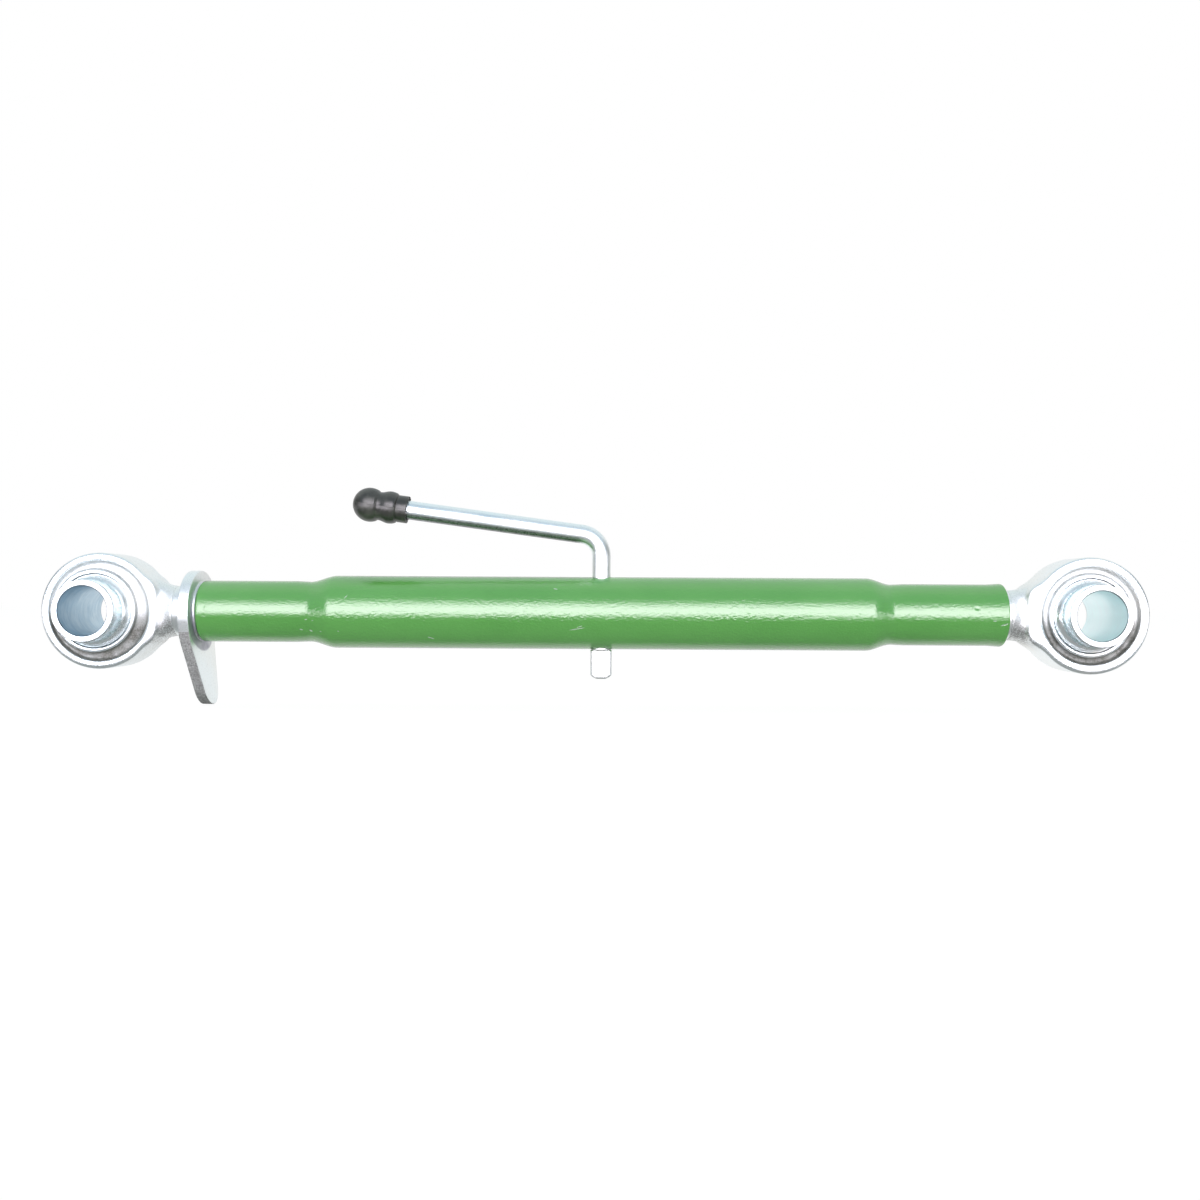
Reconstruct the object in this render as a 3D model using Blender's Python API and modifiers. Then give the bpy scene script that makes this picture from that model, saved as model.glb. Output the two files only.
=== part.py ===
# Tractor top link, ball end to ball end, screwed in to its shortest length.
# Metres, +Z up. The origin is the centre of the tractor ball, +X runs along the link to the implement ball,
# and both pin bores run along Y.
import math

import bmesh
import bpy
from mathutils import Matrix, Vector

# The link as a whole
CLOSED_LENGTH = 0.520
SCREW_TRAVEL = 0.105
RUNNING_GAP = 0.0003

# Ball that turns in each eye
PIN_BORE_RADIUS = 0.0128
PIN_BORE_CHAMFER = 0.0006
BALL_WIDTH = 0.0510
BALL_RADIUS = 0.0225
COLLAR_RADIUS = 0.0162
COLLAR_EDGE = 0.0005
COLLAR_STEP = 0.0011

# Forged eye, drawn in at its neck to meet the screw
EYE_RADIUS = 0.0305
EYE_THICKNESS = 0.0250
EYE_EDGE = 0.0018
SOCKET_MOUTH_RADIUS = 0.0195
LIP_WIDTH = 0.0022
LIP_DROP = 0.0004
LIP_CHAMFER = 0.0006
TRACTOR_GROOVE_WIDTH = 0.0049
IMPLEMENT_GROOVE_WIDTH = 0.0041
GROOVE_DEPTH = 0.0031
GROOVE_OUTER_RUN = 0.0016
GROOVE_INNER_RUN = 0.0007
GROOVE_FLOOR_ROUND = 0.0004
TRACTOR_RING_SHIFT = 0.0025
NECK_FILLET = 0.0250
NECK_LENGTH = 0.0410
NECK_EDGE = 0.0003
NECK_UNDER_RING = 0.0005
TAB_LENGTH = 0.0330
TAB_HALF_HEIGHT = 0.0090
TAB_CORNER = 0.0050
WAIST_THICKNESS = 0.0220
WAIST_FROM_END = 0.0060

# Threaded rod, plain here: its crests only
THREAD_RADIUS = 0.0133
THREAD_ENGAGEMENT = 0.0480
ROD_FACE_EDGE = 0.0004
ROD_END_CHAMFER = 0.0016

# Barrel tube, drawn down to a thick threaded wall at both ends
TUBE_RADIUS = 0.0192
TUBE_WALL = 0.0036
END_RADIUS = 0.01625
END_EDGE = 0.0007
TRACTOR_END_LENGTH = 0.0565
IMPLEMENT_END_LENGTH = 0.0580
TRACTOR_SWAGE_LENGTH = 0.0135
IMPLEMENT_SWAGE_LENGTH = 0.0100
SWAGE_NECK_DEPTH = 0.0003
IMPLEMENT_FACE_GAP = 0.0024

# Lock nut: a plate with a bent tongue, and a boss that bears on the tube
NUT_SHANK_GAP = 0.0063
NUT_THICKNESS = 0.0055
NUT_RADIUS = 0.0215
BOSS_RADIUS = 0.0155
BOSS_HEIGHT = 0.0014
TONGUE_TIP_RADIUS = 0.0105
TONGUE_REACH = 0.0390
TONGUE_BEND_START = 0.0120
TONGUE_BEND_RADIUS = 0.0200
TONGUE_LEAN = math.radians(10.5)

# Tommy bar through the middle of the tube
BAR_RADIUS = 0.0050
BAR_HOLE_GAP = 0.0006
BAR_BEND_RADIUS = 0.0120
ARM_HEIGHT = 0.0406
ARM_SLOPE = math.radians(7.6)
ARM_LENGTH = 0.1285
LEG_BELOW_TUBE = 0.0155
PRESSED_WIDTH = 0.0116
PRESSED_THICKNESS = 0.0082
PRESSED_START = 0.0012
PRESSED_RUN = 0.0030
LEG_TIP_CHAMFER = 0.0009

# Rubber grip pushed onto the bar
GRIP_LENGTH = 0.0298
GRIP_END_RADIUS = 0.0091
GRIP_WAIST_RADIUS = 0.0075
GRIP_WAIST_FROM_END = 0.0142
GRIP_WAIST_RUN = 0.0015
GRIP_WAIST_EASE = 0.0003
GRIP_BULB_RADIUS = 0.0086
GRIP_BULB_HALF = 0.0046
GRIP_SLEEVE_RADIUS = 0.0072
GRIP_SLEEVE_LENGTH = 0.0056
GRIP_MOUTH_WALL = 0.0010
GRIP_END_WALL = 0.0050

# How finely round shapes are cut into faces
ROUND_STEPS = 44
TUBE_STEPS = 40
ROD_STEPS = 36
GRIP_STEPS = 24
BAR_BEVEL_STEPS = 6
NECK_POINTS = 32
SQUARISH = 4.0
ROUND = 2.0

# Where the pieces lie along the link
SOCKET_RADIUS = BALL_RADIUS + RUNNING_GAP
THREAD_BORE_RADIUS = THREAD_RADIUS + RUNNING_GAP
TUBE_BORE_RADIUS = TUBE_RADIUS - TUBE_WALL
NUT_START = NECK_LENGTH + NUT_SHANK_GAP
NUT_END = NUT_START + NUT_THICKNESS + BOSS_HEIGHT
TUBE_START = NUT_END + RUNNING_GAP
TUBE_END = CLOSED_LENGTH - NECK_LENGTH - IMPLEMENT_FACE_GAP
BAR_PLACE = (TUBE_START + TUBE_END) / 2
BAR_HOLE_RADIUS = BAR_RADIUS + BAR_HOLE_GAP
ROD_START = NECK_LENGTH + RUNNING_GAP
TRACTOR_ROD_END = TUBE_START + SCREW_TRAVEL + THREAD_ENGAGEMENT
IMPLEMENT_ROD_END = CLOSED_LENGTH - TUBE_END + SCREW_TRAVEL + THREAD_ENGAGEMENT

# Edges that turn more than this stay crisp in the shading
SHARP_ANGLE = math.radians(35)

# Which way a turned piece's axis points
ALONG_X = Matrix.Rotation(math.pi / 2, 4, "Y")
ALONG_Y = Matrix.Rotation(-math.pi / 2, 4, "X")
ALONG_Z = Matrix.Identity(4)


def clear_scene():
    for thing in list(bpy.data.objects):
        bpy.data.objects.remove(thing, do_unlink=True)


def new_collection(name):
    collection = bpy.data.collections.new(name)
    bpy.context.scene.collection.children.link(collection)
    return collection


def new_material(name, colour, metallic, roughness):
    material = bpy.data.materials.new(name)
    material.use_nodes = True
    shader = material.node_tree.nodes["Principled BSDF"]
    shader.inputs["Base Color"].default_value = (*colour, 1.0)
    shader.inputs["Metallic"].default_value = metallic
    shader.inputs["Roughness"].default_value = roughness
    material.diffuse_color = (*colour, 1.0)
    return material


def crease_group():
    """Shades a mesh smooth, apart from its edges that are sharper than the limit."""
    group = bpy.data.node_groups.new("smooth_but_crisp_edges", "GeometryNodeTree")
    group.interface.new_socket("Geometry", in_out="INPUT", socket_type="NodeSocketGeometry")
    group.interface.new_socket("Geometry", in_out="OUTPUT", socket_type="NodeSocketGeometry")
    node = group.nodes.new
    start = node("NodeGroupInput")
    smooth = node("GeometryNodeSetShadeSmooth")
    angle = node("GeometryNodeInputMeshEdgeAngle")
    sharp = node("FunctionNodeCompare")
    crisp = node("GeometryNodeSetShadeSmooth")
    end = node("NodeGroupOutput")
    sharp.operation = "GREATER_THAN"
    sharp.inputs["B"].default_value = SHARP_ANGLE
    crisp.domain = "EDGE"
    crisp.inputs["Shade Smooth"].default_value = False
    group.links.new(start.outputs["Geometry"], smooth.inputs["Geometry"])
    group.links.new(smooth.outputs["Geometry"], crisp.inputs["Geometry"])
    group.links.new(angle.outputs["Unsigned Angle"], sharp.inputs["A"])
    group.links.new(sharp.outputs["Result"], crisp.inputs["Selection"])
    group.links.new(crisp.outputs["Geometry"], end.inputs["Geometry"])
    return group


def shade_parts():
    group = crease_group()
    for thing in PARTS.objects:
        if thing.type == "MESH":
            thing.modifiers.new("Crisp edges", "NODES").node_group = group


def new_empty(name, place, turn=0.0):
    empty = bpy.data.objects.new(name, None)
    empty.location = place
    empty.rotation_euler = (0.0, 0.0, turn)
    empty.empty_display_size = 0.02
    PARTS.objects.link(empty)
    return empty


def new_object(name, mesh, parent, matrix=None, material=None):
    """An object under its parent empty: a visible part if it has a material, and otherwise a cutter."""
    thing = bpy.data.objects.new(name, mesh)
    thing.parent = parent
    if matrix is not None:
        thing.matrix_basis = matrix
    if material is None:
        thing.hide_render = True
        thing.display_type = "WIRE"
        CUTTERS.objects.link(thing)
    else:
        mesh.materials.append(material)
        PARTS.objects.link(thing)
    return thing


def mesh_from(name, bm):
    mesh = bpy.data.meshes.new(name)
    bmesh.ops.recalc_face_normals(bm, faces=bm.faces)
    bm.to_mesh(mesh)
    bm.free()
    return mesh


def arc(centre, radius, start, end, steps):
    """Points from the start angle to the end angle, both included, counted from the first axis to the second."""
    turns = [start + (end - start) * i / steps for i in range(steps + 1)]
    return [(centre[0] + radius * math.cos(a), centre[1] + radius * math.sin(a)) for a in turns]


def turned(name, profile, direction, parent, steps=ROUND_STEPS, material=None, place=(0.0, 0.0, 0.0)):
    """A profile of (radius, height) points turned about the height axis, which direction then lays down."""
    mesh = bpy.data.meshes.new(name)
    count = len(profile)
    hollow = profile[0][0] > 0.0
    edges = [(i, i + 1) for i in range(count - 1)] + [(count - 1, 0)] * hollow
    mesh.from_pydata([(r, 0.0, h) for r, h in profile], edges, [])
    thing = new_object(name, mesh, parent, Matrix.Translation(place) @ direction, material)
    screw = thing.modifiers.new("Turn", "SCREW")
    screw.axis = "Z"
    screw.angle = math.tau
    screw.steps = steps
    screw.render_steps = steps
    screw.use_merge_vertices = True
    screw.merge_threshold = 0.000001
    return thing


def extruded(name, outline, across, thickness, parent, material=None):
    """A flat outline in the plane across X or across Y, made solid to both sides of that plane."""
    bm = bmesh.new()
    half = thickness / 2
    if across == "Y":
        corners = [Vector((a, -half, b)) for a, b in outline]
        push = Vector((0.0, thickness, 0.0))
    else:
        corners = [Vector((-half, a, b)) for a, b in outline]
        push = Vector((thickness, 0.0, 0.0))
    face = bm.faces.new([bm.verts.new(corner) for corner in corners])
    far = bmesh.ops.extrude_face_region(bm, geom=[face])["geom"]
    bmesh.ops.translate(bm, verts=[v for v in far if isinstance(v, bmesh.types.BMVert)], vec=push)
    return new_object(name, mesh_from(name, bm), parent, material=material)


def combine(thing, other, operation):
    boolean = thing.modifiers.new(other.name, "BOOLEAN")
    boolean.object = other
    boolean.operation = operation
    boolean.solver = "EXACT"


def smooth_step(t):
    t = min(max(t, 0.0), 1.0)
    return t * t * (3.0 - 2.0 * t)


def ball_profile():
    half = BALL_WIDTH / 2
    step_radius = COLLAR_RADIUS + COLLAR_STEP
    latitude = math.asin(step_radius / BALL_RADIUS)
    rest = math.pi / 2 - latitude
    foot = BALL_RADIUS * math.cos(latitude) + COLLAR_STEP / 2
    upper = [
        (PIN_BORE_RADIUS, half - PIN_BORE_CHAMFER),
        (PIN_BORE_RADIUS + PIN_BORE_CHAMFER, half),
        (COLLAR_RADIUS - COLLAR_EDGE, half),
        (COLLAR_RADIUS, half - COLLAR_EDGE),
        (COLLAR_RADIUS, foot),
    ]
    sphere = arc((0.0, 0.0), BALL_RADIUS, rest, -rest, 9)
    lower = [(r, -h) for r, h in reversed(upper)]
    return upper + sphere + lower


def make_ball(name, end):
    return turned(name, ball_profile(), ALONG_Y, end, material=ZINC)


def neck_half_height(x, shift):
    """The eye's outline above the axis, where it sweeps from the ring into the screw."""
    centre = neck_fillet_centre(shift)
    reach = min(abs(x - centre.x), NECK_FILLET)
    return centre.y - math.sqrt(NECK_FILLET**2 - reach**2)


def neck_fillet_centre(shift):
    height = THREAD_RADIUS + NECK_FILLET
    return Vector((shift + math.sqrt((EYE_RADIUS + NECK_FILLET) ** 2 - height**2), height))


def eye_outline(shift):
    """The ring, the two hollow flanks and the rounded tab, as seen along the pin."""
    centre = neck_fillet_centre(shift)
    meet = math.atan2(centre.y, centre.x - shift)
    corner_x = TAB_LENGTH - TAB_CORNER
    corner_rise = neck_half_height(corner_x, shift) - TAB_HALF_HEIGHT
    corner_turns = [math.pi / 2 * i / 5 for i in range(6)]
    corner = [
        (corner_x + TAB_CORNER * math.cos(a), TAB_HALF_HEIGHT + corner_rise * math.sin(a)) for a in corner_turns
    ]
    at_ring = meet + math.pi
    at_corner = math.atan2(neck_half_height(corner_x, shift) - centre.y, corner_x - centre.x) + math.tau
    flank = arc(centre, NECK_FILLET, at_corner, at_ring, 5)[1:-1]
    ring = arc((shift, 0.0), EYE_RADIUS, meet, math.pi, 17)
    upper = corner + flank + ring
    return upper + [(x, -z) for x, z in reversed(upper[:-1])]


def neck_sections(shift):
    """Stations along the neck: (x, half height, half thickness, squareness)."""
    centre = neck_fillet_centre(shift)
    start = shift + EYE_RADIUS * (centre.x - shift) / (EYE_RADIUS + NECK_FILLET)
    waist = NECK_LENGTH - WAIST_FROM_END
    thick = EYE_THICKNESS / 2 - 2 * NECK_UNDER_RING
    end_radius = THREAD_RADIUS - NECK_EDGE
    sections = [(start / 2, neck_half_height(start, shift) - 2 * NECK_UNDER_RING, thick, SQUARISH)]
    for i in range(9):
        along = i / 8
        x = start + (NECK_LENGTH - start) * along
        sunk = NECK_UNDER_RING * (1.0 - smooth_step(2.0 * along - 0.6))
        height = neck_half_height(x, shift) - sunk - NECK_EDGE
        if x < waist:
            width = thick + (WAIST_THICKNESS / 2 - thick) * smooth_step((x - start) / (waist - start))
        else:
            rise = smooth_step((x - waist) / WAIST_FROM_END)
            width = WAIST_THICKNESS / 2 + (end_radius - WAIST_THICKNESS / 2) * rise
        sections.append((x, height, width, SQUARISH + (ROUND - SQUARISH) * smooth_step(along)))
    return sections


def neck_mesh(name, shift):
    """A loft from the squarish section behind the ring to the round end at the screw."""
    bm = bmesh.new()
    rings = []
    for x, height, width, squareness in neck_sections(shift):
        ring = []
        for i in range(NECK_POINTS):
            a = math.tau * i / NECK_POINTS
            c = math.cos(a)
            s = math.sin(a)
            y = width * math.copysign(abs(c) ** (2.0 / squareness), c)
            z = height * math.copysign(abs(s) ** (2.0 / squareness), s)
            ring.append(bm.verts.new((x, y, z)))
        rings.append(ring)
    for near, far in zip(rings, rings[1:]):
        for i in range(NECK_POINTS):
            j = (i + 1) % NECK_POINTS
            bm.faces.new((near[i], near[j], far[j], far[i]))
    bm.faces.new(rings[0])
    bm.faces.new(rings[-1])
    return mesh_from(name, bm)


def socket_profile():
    mouth = math.acos(SOCKET_MOUTH_RADIUS / SOCKET_RADIUS)
    out = EYE_THICKNESS
    sphere = arc((0.0, 0.0), SOCKET_RADIUS, mouth, -mouth, 8)
    return [(0.0, out), (SOCKET_MOUTH_RADIUS, out)] + sphere + [(SOCKET_MOUTH_RADIUS, -out), (0.0, -out)]


def groove_section(width):
    """The closed section of the groove round the rolled lip: (radius, height, share of the ring's shift)."""
    face = EYE_THICKNESS / 2
    lip_top = face - LIP_DROP
    lip_outer = SOCKET_MOUTH_RADIUS + LIP_WIDTH
    floor = face - GROOVE_DEPTH
    outer = lip_outer + width
    out = face + GROOVE_DEPTH
    inside = SOCKET_MOUTH_RADIUS - LIP_WIDTH
    return [
        (inside, out, 0.0),
        (outer + GROOVE_OUTER_RUN, out, 1.0),
        (outer, face, 1.0),
        (outer - GROOVE_OUTER_RUN, floor + GROOVE_FLOOR_ROUND, 1.0),
        (outer - width / 2, floor, 0.5),
        (lip_outer + GROOVE_INNER_RUN, floor + GROOVE_FLOOR_ROUND, 0.0),
        (lip_outer, lip_top - LIP_CHAMFER, 0.0),
        (lip_outer - LIP_CHAMFER, lip_top, 0.0),
        (inside, lip_top, 0.0),
    ]


def groove_mesh(name, width, shift, side):
    """The groove as a ring round the pin, its outer wall as far off centre as the eye's ring is."""
    bm = bmesh.new()
    rings = []
    for radius, height, share in groove_section(width):
        turns = [math.tau * i / ROUND_STEPS for i in range(ROUND_STEPS)]
        off = shift * share
        rings.append([bm.verts.new((off + radius * math.cos(a), side * height, radius * math.sin(a))) for a in turns])
    for near, far in zip(rings, rings[1:] + rings[:1]):
        for i in range(ROUND_STEPS):
            j = (i + 1) % ROUND_STEPS
            bm.faces.new((near[i], near[j], far[j], far[i]))
    return mesh_from(name, bm)


def make_eye(name, end, groove_width, shift):
    """The forged eye: a ring with a flat tab and a round neck, the ball's socket and a groove on both faces."""
    eye = extruded(name, eye_outline(shift), "Y", EYE_THICKNESS, end, ZINC)
    bevel = eye.modifiers.new("Forged edge", "BEVEL")
    bevel.width = EYE_EDGE
    bevel.segments = 2
    bevel.limit_method = "ANGLE"
    bevel.angle_limit = math.radians(60)
    neck = name + "_neck"
    combine(eye, new_object(neck, neck_mesh(neck, shift), end), "UNION")
    combine(eye, turned(name + "_socket", socket_profile(), ALONG_Y, end), "DIFFERENCE")
    for side, face in ((-1, "_groove_near"), (1, "_groove_far")):
        groove = groove_mesh(name + face, groove_width, shift, side)
        combine(eye, new_object(name + face, groove, end), "DIFFERENCE")
    return eye


def make_rod(name, end, rod_end):
    """The threaded rod, butt-welded to the eye at its outer end."""
    profile = [
        (0.0, rod_end),
        (THREAD_RADIUS - ROD_END_CHAMFER, rod_end),
        (THREAD_RADIUS, rod_end - ROD_END_CHAMFER),
        (THREAD_RADIUS, ROD_START + ROD_FACE_EDGE),
        (THREAD_RADIUS - ROD_FACE_EDGE, ROD_START),
        (0.0, ROD_START),
    ]
    return turned(name, profile, ALONG_X, end, ROD_STEPS, ZINC)


def tube_side(radius_end, radius_main, neck_depth, steps):
    """One wall of the tube as (radius, x) points from the tractor end to the implement end."""
    tractor_neck = TUBE_START + TRACTOR_END_LENGTH
    implement_neck = TUBE_END - IMPLEMENT_END_LENGTH
    low = radius_end - neck_depth
    points = [(radius_end, tractor_neck - TRACTOR_SWAGE_LENGTH / 2)]
    for i in range(steps + 1):
        t = i / steps
        radius = low + (radius_main - low) * smooth_step(t)
        points.append((radius, tractor_neck + TRACTOR_SWAGE_LENGTH * t))
    for i in range(steps + 1):
        t = 1.0 - i / steps
        radius = low + (radius_main - low) * smooth_step(t)
        points.append((radius, implement_neck - IMPLEMENT_SWAGE_LENGTH * t))
    points.append((radius_end, implement_neck + IMPLEMENT_SWAGE_LENGTH / 2))
    return points


def make_tube():
    inner = tube_side(THREAD_BORE_RADIUS, TUBE_BORE_RADIUS, 0.0, 2)
    outer = tube_side(END_RADIUS, TUBE_RADIUS, SWAGE_NECK_DEPTH, 5)
    outer = [(END_RADIUS - END_EDGE, TUBE_START), (END_RADIUS, TUBE_START + END_EDGE)] + outer
    outer += [(END_RADIUS, TUBE_END - END_EDGE), (END_RADIUS - END_EDGE, TUBE_END)]
    inner = [(THREAD_BORE_RADIUS, TUBE_START)] + inner + [(THREAD_BORE_RADIUS, TUBE_END)]
    axis = new_empty("tube_axis", (0.0, 0.0, 0.0))
    profile = list(reversed(outer)) + inner
    tube = turned("barrel_tube", profile, ALONG_X, axis, TUBE_STEPS, GREEN)
    reach = TUBE_RADIUS * 2
    hole = [(0.0, reach), (BAR_HOLE_RADIUS, reach), (BAR_HOLE_RADIUS, -reach), (0.0, -reach)]
    cutter = turned("bar_hole", hole, ALONG_Z, axis, ROD_STEPS, place=(BAR_PLACE, 0.0, 0.0))
    combine(tube, cutter, "DIFFERENCE")
    return tube


def teardrop():
    """The lock nut seen along the screw: its round plate drawn out to the rounded tip of the tongue."""
    lean = math.asin((NUT_RADIUS - TONGUE_TIP_RADIUS) / TONGUE_REACH)
    plate = arc((0.0, 0.0), NUT_RADIUS, -lean, math.pi + lean, 30)
    tip = arc((0.0, -TONGUE_REACH), TONGUE_TIP_RADIUS, math.pi + lean, math.tau - lean, 12)
    return plate + tip


def nut_side():
    """The plate seen from the side as (x, z) points: flat round the screw, then bent towards the tube."""
    top = NUT_RADIUS + NUT_THICKNESS
    length = TONGUE_REACH + TONGUE_TIP_RADIUS
    centre = (NUT_START + NUT_THICKNESS + TONGUE_BEND_RADIUS, -TONGUE_BEND_START)
    outer_radius = TONGUE_BEND_RADIUS + NUT_THICKNESS
    inner_bend = arc(centre, TONGUE_BEND_RADIUS, math.pi, math.pi + TONGUE_LEAN, 4)
    outer_bend = arc(centre, outer_radius, math.pi + TONGUE_LEAN, math.pi, 4)
    run = Vector((math.sin(TONGUE_LEAN), -math.cos(TONGUE_LEAN))) * length
    inner_end = (inner_bend[-1][0] + run.x, inner_bend[-1][1] + run.y)
    outer_end = (outer_bend[0][0] + run.x, outer_bend[0][1] + run.y)
    start = [(NUT_START, top), (NUT_START + NUT_THICKNESS, top)]
    return start + inner_bend + [inner_end, outer_end] + outer_bend


def make_lock_nut():
    axis = new_empty("lock_nut_axis", (0.0, 0.0, 0.0))
    nut = extruded("lock_nut", nut_side(), "Y", 2 * (NUT_RADIUS + NUT_THICKNESS), axis, ZINC)
    shape = extruded("lock_nut_shape", teardrop(), "X", NUT_END * 4, axis)
    overlap = NUT_THICKNESS / 2
    boss_start = NUT_START + NUT_THICKNESS - overlap
    boss = [(0.0, NUT_END), (BOSS_RADIUS, NUT_END), (BOSS_RADIUS, boss_start), (0.0, boss_start)]
    bore_end = NUT_END + NUT_THICKNESS
    bore_start = NUT_START - NUT_THICKNESS
    bore = [(0.0, bore_end), (THREAD_BORE_RADIUS, bore_end), (THREAD_BORE_RADIUS, bore_start), (0.0, bore_start)]
    combine(nut, shape, "INTERSECT")
    combine(nut, turned("lock_nut_boss", boss, ALONG_X, axis, ROD_STEPS), "UNION")
    combine(nut, turned("lock_nut_bore", bore, ALONG_X, axis, ROD_STEPS), "DIFFERENCE")
    return nut


def bar_path():
    """The bar's centre line from the pressed foot up the leg, round the bend and out along the arm."""
    turn = math.pi / 2 - ARM_SLOPE
    tangent = BAR_BEND_RADIUS * math.tan(turn / 2)
    foot = -TUBE_RADIUS - LEG_BELOW_TUBE
    pressed = -TUBE_RADIUS - PRESSED_START
    full = pressed - PRESSED_RUN
    leg = [(0.0, foot), (0.0, foot + LEG_TIP_CHAMFER), (0.0, full)]
    leg += [(0.0, full + PRESSED_RUN / 3), (0.0, pressed - PRESSED_RUN / 3), (0.0, pressed)]
    bend = arc((-BAR_BEND_RADIUS, ARM_HEIGHT - tangent), BAR_BEND_RADIUS, 0.0, turn, 8)
    arm = [(-ARM_LENGTH * math.cos(ARM_SLOPE), ARM_HEIGHT + ARM_LENGTH * math.sin(ARM_SLOPE))]
    return leg + bend + arm


def make_bar(axis):
    curve = bpy.data.curves.new("handle_bar", "CURVE")
    curve.dimensions = "3D"
    curve.bevel_depth = BAR_RADIUS
    curve.bevel_resolution = BAR_BEVEL_STEPS
    curve.use_fill_caps = True
    path = bar_path()
    spline = curve.splines.new("POLY")
    spline.points.add(len(path) - 1)
    for point, (x, z) in zip(spline.points, path):
        point.co = (x, 0.0, z, 1.0)
    spline.points[0].radius = 1.0 - LEG_TIP_CHAMFER / BAR_RADIUS
    guide = bpy.data.objects.new("handle_bar_guide", curve)
    CUTTERS.objects.link(guide)
    bpy.context.view_layer.update()
    graph = bpy.context.evaluated_depsgraph_get()
    mesh = bpy.data.meshes.new_from_object(guide.evaluated_get(graph))
    bpy.data.objects.remove(guide)
    bm = bmesh.new()
    bm.from_mesh(mesh)
    bpy.data.meshes.remove(mesh)
    bmesh.ops.remove_doubles(bm, verts=bm.verts, dist=0.00001)
    press_foot(bm)
    return new_object("handle_bar", mesh_from("handle_bar", bm), axis, material=ZINC)


def press_foot(bm):
    """Squeezes the foot flat front and back, which spreads it sideways."""
    pressed = -TUBE_RADIUS - PRESSED_START
    widen = PRESSED_WIDTH / (2 * BAR_RADIUS) - 1.0
    flat = PRESSED_THICKNESS / 2
    for vert in bm.verts:
        amount = smooth_step((pressed - vert.co.z) / PRESSED_RUN)
        vert.co.x *= 1.0 + widen * amount
        limit = BAR_RADIUS + (flat - BAR_RADIUS) * amount
        vert.co.y = min(max(vert.co.y, -limit), limit)


def grip_profile():
    """The grip from its rounded end down to the sleeve's mouth, and back up its blind bore."""
    end = ARM_LENGTH + GRIP_END_WALL
    mouth = end - GRIP_LENGTH
    sleeve_end = mouth + GRIP_SLEEVE_LENGTH
    ball = end - GRIP_END_RADIUS
    bulb = sleeve_end + GRIP_BULB_HALF
    waist = end - GRIP_WAIST_FROM_END
    bore = BAR_RADIUS + RUNNING_GAP
    ball_end = arc((0.0, ball), GRIP_END_RADIUS, math.pi / 2, -math.pi / 12, 8)[1:]
    outer = [(0.0, end)] + ball_end
    outer += [(GRIP_WAIST_RADIUS + GRIP_WAIST_EASE, waist + GRIP_WAIST_RUN), (GRIP_WAIST_RADIUS, waist)]
    outer += [(GRIP_WAIST_RADIUS + GRIP_WAIST_EASE, waist - GRIP_WAIST_RUN)]
    outer += arc((GRIP_BULB_RADIUS - GRIP_BULB_HALF, bulb), GRIP_BULB_HALF, math.pi / 3, -math.pi / 3, 4)
    outer += [(GRIP_SLEEVE_RADIUS, sleeve_end), (GRIP_SLEEVE_RADIUS, mouth)]
    inner = [(bore + GRIP_MOUTH_WALL, mouth), (bore, mouth + GRIP_MOUTH_WALL * 2)]
    inner += [(bore, ARM_LENGTH + RUNNING_GAP), (0.0, ARM_LENGTH + RUNNING_GAP)]
    return outer + inner


def make_handle():
    axis = new_empty("handle_axis", (BAR_PLACE, 0.0, 0.0))
    make_bar(axis)
    outward = Matrix.Rotation(-(math.pi / 2 - ARM_SLOPE), 4, "Y")
    turned("handle_grip", grip_profile(), outward, axis, GRIP_STEPS, RUBBER, (0.0, 0.0, ARM_HEIGHT))


def make_end(side, place, turn, rod_end, groove_width, shift):
    """One end of the link: ball, eye and threaded rod, all but the same at both ends."""
    end = new_empty(side + "_end", place, turn)
    make_ball(side + "_ball", end)
    make_eye(side + "_eye", end, groove_width, shift)
    make_rod(side + "_screw", end, rod_end)


clear_scene()
PARTS = new_collection("tractor_top_link")
CUTTERS = new_collection("cutters")
ZINC = new_material("zinc_plated_steel", (0.74, 0.78, 0.80), 0.9, 0.34)
GREEN = new_material("green_paint", (0.13, 0.38, 0.10), 0.0, 0.38)
RUBBER = new_material("black_rubber", (0.055, 0.055, 0.050), 0.0, 0.55)

make_end("tractor", (0.0, 0.0, 0.0), 0.0, TRACTOR_ROD_END, TRACTOR_GROOVE_WIDTH, TRACTOR_RING_SHIFT)
make_end("implement", (CLOSED_LENGTH, 0.0, 0.0), math.pi, IMPLEMENT_ROD_END, IMPLEMENT_GROOVE_WIDTH, 0.0)
make_tube()
make_lock_nut()
make_handle()
shade_parts()
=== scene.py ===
"""The looks of an adjustable tractor top link: zinc plated ball ends, a green barrel tube,
a lever lock nut and a turning handle with a rubber grip. Metres, +Z up, X along the link."""

import math

import bmesh
import bpy
from mathutils import Matrix, Vector, noise


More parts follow.
